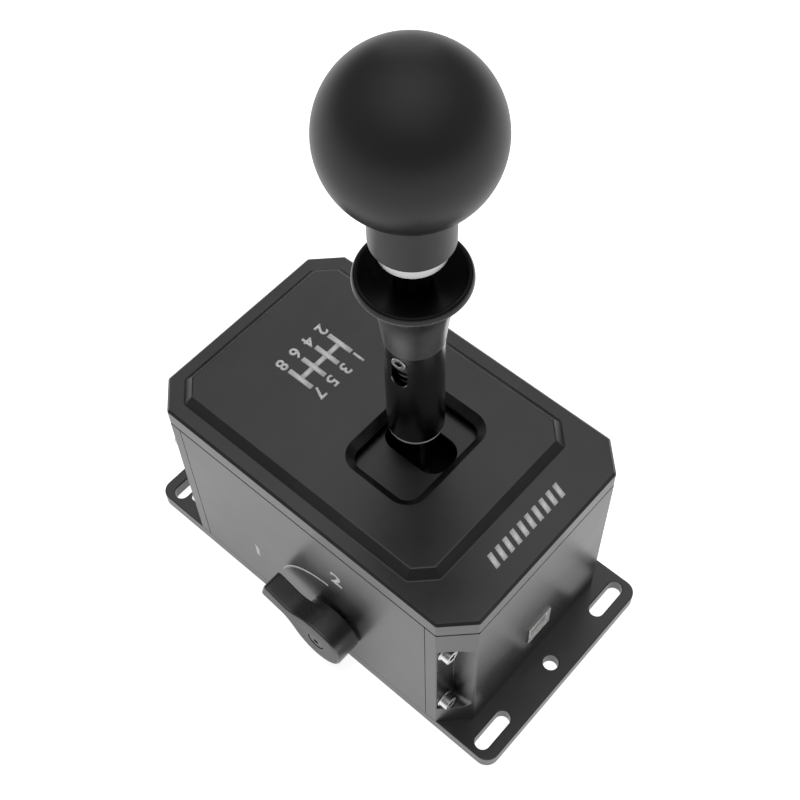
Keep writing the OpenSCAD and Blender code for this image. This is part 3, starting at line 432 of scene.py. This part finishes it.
# blind bore, rounded ring under the neck, then the stem up into the ball
def insertProfile(radius, foot, rim, stem, stemTop, bore, boreTop, edges):
    ring = [[bore, boreTop - 1], [bore, foot], [radius, foot], [radius, rim], [stem, rim]]
    return np.concatenate([[[0, boreTop], [bore, boreTop]], roundCorners(ring, edges, 5),
                           [[stem, stemTop], [0, stemTop]]])


makePiece("knobInsert", [turned(insertProfile(**insert), leverAxis)], looks["insert_silver"],
          "lever", ["knob_insert"])

shaftLow, shaftHigh = boxMm("lever_shaft")
shaft = dict(radius=(shaftHigh[0] - shaftLow[0]) / 2, low=shaftLow[2], high=shaftHigh[2], edge=0.6)


# plain rod with rounded ends
def shaftProfile(radius, low, high, edge):
    return roundCorners([[0, low], [radius, low], [radius, high], [0, high]], edge, 4)


makePiece("leverShaft", [turned(shaftProfile(**shaft), leverAxis)], looks["black_chrome"],
          "lever", ["lever_shaft"])
print("knob and shaft made")

# Lift ring: collar, sleeve, cap and spring

sleeveLow, sleeveHigh = boxMm("lift_sleeve")
collarLow, collarHigh = boxMm("lift_collar")
sleeve = dict(radius=round((sleeveHigh[0] - sleeveLow[0]) / 2, 2), low=sleeveLow[2], high=sleeveHigh[2],
              wall=1.35, foot=0.6, slotWidth=5.8, slotLow=128.8, slotHigh=143.1, slotAt=10, edge=0.22,
              columns=121, rows=22, rowsFrom=2, rowsTo=0.8, clear=0.35)
collar = dict(radius=(collarHigh[0] - collarLow[0]) / 2, low=collarLow[2], high=collarHigh[2], bore=8.25,
              boreDeep=5.4, hole=5.6, rimHeight=2.6, lip=1.25, fall=2.5, step=0.2, taper=2.8,
              lipFrom=6, lipTo=132, dishEdges=(0, 0.2, 0.6, 0, 0, 0, 0))


# trumpet: r = sleeve + step + taper t + k t^4 up to the rim, a round lip, then a shallow cone to the hole
def collarProfile(radius, low, high, bore, boreDeep, hole, rimHeight, lip, fall, step, taper,
                  lipFrom, lipTo, dishEdges):
    rim = high - low - rimHeight
    t = np.linspace(0, 1, 40)
    flare = sleeve["radius"] + step + taper * t + (radius - sleeve["radius"] - step - taper) * t ** 4
    outside = np.stack([flare, low + rim * t], 1)
    a = np.radians(np.linspace(lipFrom, lipTo, 16))
    lipArc = np.stack([radius - lip + lip * np.cos(a), low + rim + rimHeight * np.sin(a)], 1)
    dish = roundCorners([lipArc[-2], lipArc[-1], [hole, low + rim - fall], [hole, low + boreDeep],
                         [bore, low + boreDeep], [bore, low], outside[0]], dishEdges, 6)
    return np.concatenate([outside, lipArc[:-1], dish[1:-1]])


collarPiece = makePiece("liftCollar", [turned(collarProfile(**collar), leverAxis, 128, True)],
                        looks["collar_grey"], "lift_ring", ["lift_collar"], sharp=45)
near = 0.05   # play of the tests that choose painted faces
rimLevel = collar["high"] - collar["rimHeight"]
# painted shade: the dish above the rim gets a near-black copy of the collar's metal for the shade and dark
# reflections that fall in it
paintFaces(collarPiece, looks["dish_painted_shade"], lambda p: p[:, 2] > rimLevel + near)
well = dict(crest=1.9, above=8, slope=0.62)


# inside the dish and its hole, painted darkest as shade: within the lip's crest and the trumpet's wall,
# above the bore
def inDish(p):
    away = np.hypot(*(p[:, :2] - leverAxis).T)
    height = p[:, 2] - collar["low"]
    within = (away < collar["radius"] - well["crest"]) & (away < well["slope"] * height)
    return within & (height > well["above"])


paintFaces(collarPiece, looks["well_painted_shade"], inDish)


# tube unrolled to (arc length, height), the slot cut out, and rolled up again outside and inside
def sleeveParts(radius, low, high, wall, foot, slotWidth, slotLow, slotHigh, slotAt, edge,
                columns, rows, rowsFrom, rowsTo, clear):
    half, middle = (slotHigh - slotLow - slotWidth) / 2, (slotHigh + slotLow) / 2
    across = np.linspace(-np.pi * radius, np.pi * radius, columns)
    up = np.concatenate([low + foot * np.array([0, 0.5, 1]),
                         np.linspace(low + rowsFrom, high - rowsTo, rows), [high]])
    s, z = [g.ravel() for g in np.meshgrid(across, up)]
    away = np.hypot(s, np.maximum(abs(z - middle) - half, 0)) - slotWidth / 2
    border = np.array([[across[0], low], [across[-1], low], [across[-1], high], [across[0], high]])
    loop = stadiumLoop(half, slotWidth / 2, (0, middle), 20)
    wide = stadiumLoop(half, slotWidth / 2 + edge, (0, middle), 20)
    flat, tri = fillFlat(border, [wide], np.stack([s, z], 1)[away > edge + clear])

    # back round the axis, drawn in at the foot on the outside
    def roll(p, depth):
        r = radius - np.clip(foot - (p[:, 1] - low), 0, foot) * (depth == 0) - depth
        a = p[:, 0] / radius + math.radians(slotAt)
        return np.stack([leverAxis[0] + r * np.cos(a), leverAxis[1] + r * np.sin(a), p[:, 1]], 1)

    slotWalls = [roll(wide, 0), roll(loop, edge), roll(loop, wall - edge), roll(wide, wall)]
    circles = [np.stack([across[:-1], np.full(columns - 1, level)], 1) for level in (low, high)]
    ends = [loft([roll(circle, 0), roll(circle, wall)]) for circle in circles]
    return [(roll(flat, 0), tri), (roll(flat, wall), tri[:, ::-1]), loft(slotWalls), *ends]


makePiece("liftSleeve", sleeveParts(**sleeve), looks["sleeve_black"],
          "lift_ring", ["lift_sleeve"])

capLow, capHigh = boxMm("sleeve_cap")
cap = dict(low=capLow[2], high=capHigh[2], bore=5.03, nose=7.3, bead=0.6, beadAt=8.85, plug=8.2,
           beadFrom=-60, beadTo=90, edges=(0, 0.2, 0.2, 0))


# nose, a round bead under the sleeve's foot, r = m + b cos a, z = c + b sin a, then the plug up inside
def capProfile(low, high, bore, nose, bead, beadAt, plug, beadFrom, beadTo, edges):
    a = np.radians(np.linspace(beadFrom, beadTo, 14))
    arc = np.stack([beadAt + bead * np.cos(a), sleeve["low"] - bead + bead * np.sin(a)], 1)
    foot = roundCorners([[bore, high], [bore, low], [nose, low], arc[0]], edges, 4)
    return np.concatenate([foot[:-1], arc, [[plug, sleeve["low"]], [plug, high]]])


makePiece("sleeveCap", [turned(capProfile(**cap), leverAxis, 96, True)], looks["screw_zinc"],
          "lift_ring", ["sleeve_cap"])

springLow, springHigh = boxMm("lift_spring")
spring = dict(turns=10, wire=0.58, perTurn=36, sides=12)


# round wire carried up a helix: r = m + w cos b, z = rise * a / end + w sin b, turned by a
def springParts(turns, wire, perTurn, sides):
    a = np.linspace(0, 2 * np.pi * turns, turns * perTurn + 1)[:, None]
    b = np.linspace(0, 2 * np.pi, sides, endpoint=False)[None]
    r = (springHigh[0] - springLow[0]) / 2 - wire + wire * np.cos(b)
    z = springLow[2] + wire + (springHigh[2] - springLow[2] - 2 * wire) * a / a[-1] + wire * np.sin(b)
    rings = np.stack([leverAxis[0] + r * np.cos(a), leverAxis[1] + r * np.sin(a), z], -1)
    ends = [(ring, [list(range(sides))]) for ring in (rings[0], rings[-1])]
    return [loft(rings), *ends]


springPiece = makePiece("liftSpring", springParts(**spring), looks["dark_steel"], "lift_ring",
                        ["lift_spring"], sharp=60)
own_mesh(springPiece)
print("lift ring made")

# Housing

coverLow, coverHigh = boxMm("top_cover")
plate = dict(inset=5.55, front=18.9, rear=5.25, cut=7.4, bevel=3.0, height=3.0, corner=2.2, margin=1.5,
             edges=(0, 0.7, 0.9, 0))
cover = dict(width=coverHigh[0] - coverLow[0], length=coverHigh[1] - coverLow[1], cut=9.75,
             seat=coverLow[2], top=coverHigh[2], gap=0.7, recess=1.0, edge=0.9, corner=1.4, margin=1.2,
             edges=(0, 0, 0.12, 0.25, 0.25, 0))
mouth = dict(width=43.5, length=32.6, radius=8.0, y=13.4, slopeIn=2.9, slopeDeep=2.4, land=0.7, margin=1.0,
             edges=(0, 0.5, 0.2, 0))
underMouth = dict(width=67.5, length=40.4, radius=0.5, middle=(0, 13.5))


# outer wall and plateau: profiles (inset, height) carried round octagons
# pocket: a profile (growth, height) carried round its own outline
def coverParts():
    seat, top, ledge = cover["seat"], cover["top"], cover["top"] - plate["height"]
    size = cover["width"], cover["length"], cover["cut"]
    inset, edge, lip = cover["recess"], cover["edge"], seat + cover["gap"]
    wall = roundCorners([[inset, seat], [inset, lip], [0, lip], [0, ledge - edge], [edge, ledge],
                         [edge + cover["margin"], ledge]], cover["edges"], 4)
    rings = [lift(octagonLoop(*size, d, cover["corner"]), z) for d, z in wall]
    shelf = size[0] - 2 * plate["inset"], size[1] - plate["front"] - plate["rear"], plate["cut"]
    middle, slope = (0, (plate["rear"] - plate["front"]) / 2), plate["bevel"]
    rise = roundCorners([[-cover["margin"], ledge], [0, ledge], [slope, top],
                         [slope + plate["margin"], top]], plate["edges"], 6)
    rings += [lift(octagonLoop(*shelf, d, plate["corner"], middle), z) for d, z in rise]
    m, inner, deep = mouth, -mouth["slopeIn"], top - mouth["slopeDeep"]
    pocket = roundCorners([[m["margin"], top], [0, top], [inner, deep], [inner, deep - m["land"]]],
                          m["edges"], 5)
    outline = m["width"], m["length"], m["radius"]
    pocketRings = [lift(roundedLoop(*outline, d, (0, m["y"])), z) for d, z in pocket]
    hollow = roundedLoop(**underMouth)
    pocketRings += [lift(hollow, deep - m["land"]), lift(hollow, seat)]
    faces = []
    for outer, inner in ((rings[-1], pocketRings[0]), (rings[0], pocketRings[-1])):
        flat, tri = fillFlat(outer[:, :2], [inner[:, :2]])
        faces.append((lift(flat, outer[0, 2]), tri))
    return [loft(rings), loft(pocketRings), *faces]


makePiece("topCover", coverParts(), looks["anodised"], "housing", ["top_cover"])
dressSolid("base_plate", looks["anodised"], edge=0.35)
recess = dict(back=60.6, low=18.3, high=68.9)


# back walls of the corner pockets, painted darker as the shade in the recesses
def inRecess(p):
    upright = (p[:, 2] > recess["low"] - near) & (p[:, 2] < recess["high"] + near)
    return upright & (abs(abs(p[:, 1]) - recess["back"]) < near)


# painted shade: a darker copy of the anodising on the pockets' back walls
for node in ("front_block", "rear_block"):
    paintFaces(dressSolid(node, looks["anodised"], edge=0.2), looks["recess_shade"], inRecess)
for node in ("left_panel", "right_panel"):
    dressSolid(node, looks["anodised"], edge=0.2, seam=0.0045)   # a dark line at each end
dressSolid("base_screws", looks["dark_steel"], edge=0.12)
dressSolid("usb_shell", looks["screw_zinc"], edge=0.12)
screwLow, screwHigh = boxMm("corner_screws")
screwHead = dict(washer=3.3, socket=1.5, deep=2.2)
cornerScrews = dressSolid("corner_screws", looks["screw_zinc"], edge=0.2)


# inside the six-sided sockets, painted dark as shade: near a screw's axis, on the outer side of its head's
# floor
def inSockets(p):
    low, high = screwLow + screwHead["washer"], screwHigh - screwHead["washer"]
    across = np.minimum(abs(p[:, 0] - high[0]), abs(p[:, 0] - low[0]))
    upright = np.minimum(abs(p[:, 2] - high[2]), abs(p[:, 2] - low[2]))
    outer = abs(p[:, 1]) > screwHigh[1] - screwHead["deep"]
    return outer & (np.hypot(across, upright) < screwHead["socket"])


paintFaces(cornerScrews, looks["hex_shade"], inSockets)
guideScrew = dressSolid("guide_screw", looks["steel"], edge=0.15)
guide = dict(turn=math.radians(sleeve["slotAt"]), socket=1.36, deep=0.9,
             level=sleeve["slotHigh"] - sleeve["slotWidth"] / 2)


# inside the guide screw's socket, painted dark as shade, measured along and across its own axis
def inGuideSocket(p):
    x, y = (p[:, :2] - leverAxis).T
    along = x * math.cos(guide["turn"]) + y * math.sin(guide["turn"])
    across = y * math.cos(guide["turn"]) - x * math.sin(guide["turn"])
    outer = along > along.max() - guide["deep"]
    return outer & (np.hypot(across, p[:, 2] - guide["level"]) < guide["socket"])


paintFaces(guideScrew, looks["hex_shade"], inGuideSocket)
dressSolid("usb_insulator", looks["socket_white"], edge=0.1)
dressSolid("dust_plate", looks["dust_black"], edge=0.2)
print("housing made")

# Mode selector

panelX = boxMm("right_panel")[1][0]
hubLow, hubHigh = boxMm("mode_screw")
hubAxis = (hubLow[1:] + hubHigh[1:]) / 2
knobHigh = boxMm("mode_knob")[1]
selector = dict(hub=11.3, arm=27.0, tip=8.7, waist=7.5, out=knobHigh[0] - panelX, back=0.8, armBack=3.0,
                rest=164, root=62, edge=1.0, backEdge=0.5, sink=2.3, hole=3.75, tipRound=1.8, waistAt=0.62,
                leave=4.8, leaveTurn=0.1, arrive=5, skirtIn=1.2)
# rounded rims: steps of (change in radius, distance from the rim's own face)
holeRim = ((0.3, 0), (0.08, 0.08), (0, 0.3))
footRim = ((0.4, 0), (0.12, 0.12), (0, 0.4))


# flat (along the arm, across it) and how far out, turned to the arm's rest direction on the panel
def onPanel(flat, out, rest=0.0):
    c, s = math.cos(math.radians(rest)), math.sin(math.radians(rest))
    out = np.broadcast_to(np.asarray(out, float), len(flat))
    return np.stack([panelX + out, hubAxis[0] + flat[:, 0] * c - flat[:, 1] * s,
                     hubAxis[1] + flat[:, 0] * s + flat[:, 1] * c], 1)


# outline: the hub's arc, then a cubic curve to the waist, a straight flank, and the tip's round corners
def selectorLoop():
    s, a = selector, math.radians(selector["root"])
    back, leave = np.linspace(a, 2 * np.pi - a, 56), a + s["leaveTurn"]
    hubArc = s["hub"] * np.stack([np.cos(back), np.sin(back)], 1)
    p0 = s["hub"] * np.array([math.cos(a), math.sin(a)])
    p3 = np.array([s["arm"] * s["waistAt"], s["waist"] / 2])
    p1 = p0 + s["leave"] * np.array([math.sin(leave), -math.cos(leave)])
    p2 = p3 - [s["arrive"], 0]
    t = np.linspace(0, 1, 18)[:, None]
    flank = (1 - t) ** 3 * p0 + 3 * t * (1 - t) ** 2 * p1 + 3 * t * t * (1 - t) * p2 + t ** 3 * p3
    b = np.radians(np.linspace(90, 0, 9))
    r = s["tipRound"]
    corner = np.stack([s["arm"] - r + r * np.cos(b), s["tip"] / 2 - r + r * np.sin(b)], 1)
    upper = np.concatenate([flank[1:], corner])
    return np.concatenate([hubArc, upper * [1, -1], upper[::-1]])


# the loop moved inwards along its normals
def insetLoop(loop, inset):
    along = np.roll(loop, -1, 0) - np.roll(loop, 1, 0)
    along = along / np.linalg.norm(along, axis=1, keepdims=True)
    return loop - inset * np.stack([along[:, 1], -along[:, 0]], 1)


# flat face at one distance from the panel, turned to the arm's rest direction
def panelFace(out, *loops):
    flat, tri = fillFlat(loops[0], loops[1:])
    return onPanel(flat, out, selector["rest"]), tri


# knob: the outline carried out over quarter-round edges, inset e (1 - cos t) at a distance of e sin t,
# with a round hole for the screw
def knobParts():
    s, loop, out = selector, selectorLoop(), selector["out"]
    e, b, a = s["edge"], s["backEdge"], np.linspace(0, np.pi / 2, 7)
    sides = [(b * (1 - math.sin(t)), s["armBack"] + b * (1 - math.cos(t))) for t in a[::2]]
    sides += [(e * (1 - math.cos(t)), out - e + e * math.sin(t)) for t in a]
    rings = [onPanel(insetLoop(loop, d), w, s["rest"]) for d, w in sides]
    deep = [(s["hole"] + d, out - w) for d, w in holeRim] + [(s["hole"], out - s["sink"])]
    hole = [onPanel(circleLoop(r), w, s["rest"]) for r, w in deep]
    return [loft(rings), loft(hole), panelFace(out, insetLoop(loop, e), circleLoop(deep[0][0])),
            panelFace(out - s["sink"], circleLoop(s["hole"])), panelFace(s["armBack"], insetLoop(loop, b))]


# skirt: a round foot between the panel and the arm
def skirtParts():
    s, inside = selector, selector["armBack"] + selector["skirtIn"]
    rise = [(s["hub"] - d, s["back"] + w) for d, w in footRim] + [(s["hub"], inside)]
    rings = [onPanel(circleLoop(r, 72), w, s["rest"]) for r, w in rise]
    return [loft(rings), panelFace(s["back"], circleLoop(rise[0][0], 72)),
            panelFace(inside, circleLoop(s["hub"], 72))]


knobPiece = makePiece("selectorKnob", knobParts(), looks["selector_grey"],
                      "selector", ["mode_knob"])
# painted shade: the knob's front face is a darker, shaded copy of the knob's own metal
paintFaces(knobPiece, looks["selector_face_painted_shade"], lambda p: p[:, 0] > panelX + selector["out"] - near)
makePiece("selectorSkirt", skirtParts(), looks["selector_grey"], "selector")
button = dict(radius=3.55, edge=0.35, socket=1.25, deep=1.0, below=0.3, face=2.0, lift=0.02)


# domed screw in the hub's well: rings (radius, out) and a six-sided hole
def buttonParts():
    top = selector["out"] - button["below"]
    low = selector["out"] - selector["sink"] + button["lift"]
    r, face, deep = button["radius"], button["face"], top - button["deep"]
    profile = roundCorners([[r, low], [r, top], [face, top]], button["edge"], 5)
    rings = [onPanel(circleLoop(wide, 48), out) for wide, out in profile]
    six = circleLoop(button["socket"], 6)
    flat, tri = fillFlat(circleLoop(face, 48), [six])
    low6, tri6 = fillFlat(six)
    bottom, bottomTri = fillFlat(circleLoop(r, 48))
    return [loft(rings), (onPanel(flat, top), tri), loft([onPanel(six, top), onPanel(six, deep)]),
            (onPanel(low6, deep), tri6), (onPanel(bottom, low), bottomTri)]


makePiece("selectorScrew", buttonParts(), looks["dark_steel"], "selector", ["mode_screw"])
print("selector made")

# Prints: thin ink on the panel and the cover, plain numbers and lines only

ink = dict(thick=0.03, arcRadius=26.35, arcWidth=1.1, arcFrom=164, arcTo=94, arcSteps=48, tall=7.6,
           one=(-25.7, 30.2), oneBold=0.06, two=(16.2, 62.5), twoBold=0.045, sizePerTall=1.35,
           gate=(-3.0, -33.0), pitch=6.6, stroke=1.9, reach=5.4, digit=5.0, digitGap=0.9,
           row=(-0.9, 59.5), rowTall=5.2, rowPitch=3.7, rowWidth=2.0, rowLean=1.6, rowCount=10)


# numeral filled from Blender's own letter shapes, centred on a point
def numeral(text, tall, at, bold=0.03):
    curve = bpy.data.curves.new("numeral", "FONT")
    curve.body, curve.align_x, curve.align_y = text, "CENTER", "CENTER"
    curve.size, curve.offset, curve.resolution_u = tall * ink["sizePerTall"], bold * tall, 4
    holder = bpy.data.objects.new("numeral", curve)
    bpy.context.scene.collection.objects.link(holder)
    bpy.context.view_layer.update()
    made = bpy.data.meshes.new_from_object(holder.evaluated_get(bpy.context.evaluated_depsgraph_get()))
    points = np.zeros(len(made.vertices) * 3)
    made.vertices.foreach_get("co", points)
    faces = [list(p.vertices) for p in made.polygons]
    bpy.data.objects.remove(holder)
    bpy.data.curves.remove(curve)
    bpy.data.meshes.remove(made)
    flat = points.reshape(-1, 3)[:, :2]
    return flat - (flat.min(0) + flat.max(0)) / 2 + np.array(at), faces


# straight stroke as one rectangle
def bar(low, high):
    (x0, y0), (x1, y1) = low, high
    return np.array([[x0, y0], [x1, y0], [x1, y1], [x0, y1]], float), [[0, 1, 2, 3]]


# flat shapes put in their place and given the ink's thickness
def inkPiece(name, shapes, place):
    parts = [(place(p), f) for p, f in shapes]
    piece = makePiece(name, parts, looks["print"], "housing", closed=False)
    solid = piece.modifiers.new("inkDepth", "SOLIDIFY")
    solid.thickness, solid.offset = ink["thick"] * mm, -1


# flat (length, height) on the side panel
def sidePlace(flat):
    return np.stack([np.full(len(flat), panelX + ink["thick"]), flat[:, 0], flat[:, 1]], 1)


# flat (width, length) at a height
def topPlace(height):
    return lambda flat: lift(flat, height + ink["thick"])


# arc: (r, a) grid about the hub, r across the line and a along it
def arcShape():
    a = np.radians(np.linspace(ink["arcTo"], ink["arcFrom"], ink["arcSteps"]))
    r = ink["arcRadius"] + np.array([[ink["arcWidth"] / 2], [-ink["arcWidth"] / 2]])
    grid = np.stack([hubAxis[0] + r * np.cos(a), hubAxis[1] + r * np.sin(a)], -1)
    i = np.arange(len(a) - 1)
    return grid.reshape(-1, 2), np.stack([i, i + 1, i + 1 + len(a), i + len(a)], 1)


inkPiece("selectorScale", [arcShape(), numeral("1", ink["tall"], ink["one"], ink["oneBold"]),
                           numeral("2", ink["tall"], ink["two"], ink["twoBold"])], sidePlace)


# shift gate: four upright strokes on one cross stroke, a numeral at each end
def gateShapes():
    x, y = ink["gate"]
    w = ink["stroke"] / 2
    columns = x + ink["pitch"] * (np.arange(4) - 1.5)
    shapes = [bar((c - w, y - ink["reach"]), (c + w, y + ink["reach"])) for c in columns]
    shapes += [bar((a + w, y - w), (b - w, y + w)) for a, b in zip(columns[:-1], columns[1:])]
    away = ink["reach"] + ink["digitGap"] + ink["digit"] / 2
    for k, c in enumerate(columns):
        shapes.append(numeral(str(2 * k + 1), ink["digit"], (c, y + away)))
        shapes.append(numeral(str(2 * k + 2), ink["digit"], (c, y - away)))
    return shapes


inkPiece("shiftGate", gateShapes(), topPlace(cover["top"]))


# row of leaning bars on the front strip: one four-sided outline stepped along the row
def stripeShapes():
    x, y = ink["row"]
    w, h, lean = ink["rowWidth"] / 2, ink["rowTall"] / 2, ink["rowLean"] / 2
    one = np.array([[-w - lean, -h], [w - lean, -h], [w + lean, h], [-w + lean, h]])
    steps = x + ink["rowPitch"] * (np.arange(ink["rowCount"]) - (ink["rowCount"] - 1) / 2)
    return [(one + [step, y], [[0, 1, 2, 3]]) for step in steps]


inkPiece("frontStripes", stripeShapes(), topPlace(cover["top"] - plate["height"]))
print("prints made")

# Data socket's contacts: thin strips on the tongue

tongueLow, tongueHigh = boxMm("usb_insulator")
strips = dict(width=1.3, long=5.5, thick=0.08, at=1.25, half=1.6, end=69.4)


# closed box as two square rings with its ends filled
def boxParts(low, high):
    (x0, y0, z0), (x1, y1, z1) = low, high
    ring = np.array([[x0, z0], [x1, z0], [x1, z1], [x0, z1]])
    rings = np.stack([np.column_stack([ring[:, 0], np.full(4, y), ring[:, 1]]) for y in (y0, y1)])
    p, q = loft(rings)
    return p, q.tolist() + [[0, 1, 2, 3], [7, 6, 5, 4]]


# strip at x on the tongue's upper side (1) or lower side (-1)
def stripParts(x, side):
    inner = (tongueLow[2] + tongueHigh[2]) / 2 + side * strips["half"]
    outer, half, end = inner + side * strips["thick"], strips["width"] / 2, strips["end"]
    return boxParts((x - half, end - strips["long"], min(inner, outer)), (x + half, end, max(inner, outer)))


contacts = [stripParts(x, side) for x in (-strips["at"], strips["at"]) for side in (1, -1)]
makePiece("socketContacts", contacts, looks["contact"], "housing")
print("socket contacts made")

# Stage: pale floor, soft light, the photograph's view

floorValues = dict(half=6.0, drop=0.0004, colour=0.82, white=0.86, mirrored=0.54)
floorMesh = bpy.data.meshes.new("studioFloor")
h, d = floorValues["half"], -floorValues["drop"]
floorMesh.from_pydata([(-h, -h, d), (h, -h, d), (h, h, d), (-h, h, d)], [], [(0, 1, 2, 3)])
floor = bpy.data.objects.new("studioFloor", floorMesh)
bpy.context.scene.collection.objects.link(floor)
paper = bpy.data.materials.new("studioPaper")
paper.use_nodes = True
tree = paper.node_tree
tree.nodes.remove(tree.nodes["Principled BSDF"])
matte = tree.nodes.new("ShaderNodeBsdfDiffuse")
matte.inputs["Color"].default_value = (*grey(floorValues["colour"]), 1)
glow = tree.nodes.new("ShaderNodeEmission")
path = tree.nodes.new("ShaderNodeLightPath")
# the paper reads white to the camera and pale in reflections, and keeps the shadow of its matte part
seen = tree.nodes.new("ShaderNodeMath")
seen.operation = "MULTIPLY"
seen.inputs[1].default_value = floorValues["white"]
either = tree.nodes.new("ShaderNodeMath")
either.operation = "MAXIMUM"
total = tree.nodes.new("ShaderNodeMath")
total.operation = "MULTIPLY_ADD"
total.inputs[1].default_value = floorValues["mirrored"]
both = tree.nodes.new("ShaderNodeAddShader")
tree.links.new(path.outputs["Is Camera Ray"], seen.inputs[0])
tree.links.new(path.outputs["Is Glossy Ray"], either.inputs[0])
tree.links.new(path.outputs["Is Transmission Ray"], either.inputs[1])
tree.links.new(either.outputs["Value"], total.inputs[0])
tree.links.new(seen.outputs["Value"], total.inputs[2])
tree.links.new(total.outputs["Value"], glow.inputs["Strength"])
tree.links.new(matte.outputs["BSDF"], both.inputs[0])
tree.links.new(glow.outputs["Emission"], both.inputs[1])
tree.links.new(both.outputs["Shader"], tree.nodes["Material Output"].inputs["Surface"])
floorMesh.materials.append(paper)

# world by the height of the direction: pale round the horizon, a dim band above it, a soft ceiling
sky = bpy.data.worlds.new("studioSky")
bpy.context.scene.world = sky
sky.use_nodes = True
tree = sky.node_tree
direction = tree.nodes.new("ShaderNodeTexCoord")
split = tree.nodes.new("ShaderNodeSeparateXYZ")
ramp = tree.nodes.new("ShaderNodeValToRGB")
skySteps = [(0.0, 0.42), (0.08, 0.36), (0.2, 0.09), (0.55, 0.07), (0.73, 0.18), (0.81, 0.41), (1.0, 0.52)]
steps = ramp.color_ramp.elements
for place, level in skySteps[1:-1]:
    steps.new(place)
for step, (place, level) in zip(steps, skySteps):
    step.position, step.color = place, (*grey(level), 1)
tree.links.new(direction.outputs["Generated"], split.inputs["Vector"])
tree.links.new(split.outputs["Z"], ramp.inputs["Fac"])
tree.links.new(ramp.outputs["Color"], tree.nodes["Background"].inputs["Color"])
tree.nodes["Background"].inputs["Strength"].default_value = 1.0

lampAim = Vector((0, 0, 0.1))
lamps = [dict(name="ceilingSoftbox", at=(0.0, 0.0, 1.6), size=0.9, power=11.0, shine=False),
         dict(name="backSoftbox", at=(-0.8, -0.7, 0.65), size=0.7, power=0.8, shine=True)]
for lamp in lamps:
    light = bpy.data.lights.new(lamp["name"], "AREA")
    light.size, light.energy = lamp["size"], lamp["power"]
    holder = bpy.data.objects.new(lamp["name"], light)
    bpy.context.scene.collection.objects.link(holder)
    holder.visible_glossy = lamp["shine"]   # a fill with no highlight of its own where false
    holder.location = lamp["at"]
    holder.rotation_euler = (lampAim - holder.location).to_track_quat("-Z", "Y").to_euler()

# camera: place and axes found from the photograph's own edges
view = dict(at=(0.16876, 0.16578, 0.46480), forward=(-0.39933, -0.37619, -0.83608),
            up=(-0.63456, -0.54479, 0.54821), lens=59.249, sensor=36.0, near=0.01, far=30)
camera = bpy.data.cameras.new("photoView")
camera.lens, camera.sensor_width = view["lens"], view["sensor"]
camera.clip_start, camera.clip_end = view["near"], view["far"]
cameraObject = bpy.data.objects.new("photoView", camera)
bpy.context.scene.collection.objects.link(cameraObject)
back = -Vector(view["forward"]).normalized()
side = Vector(view["up"]).cross(back).normalized()
axes = Matrix((side, back.cross(side), back)).transposed()
cameraObject.matrix_world = Matrix.Translation(view["at"]) @ axes.to_4x4()
bpy.context.scene.camera = cameraObject
bpy.context.scene.view_settings.view_transform = "Standard"
print("stage made")
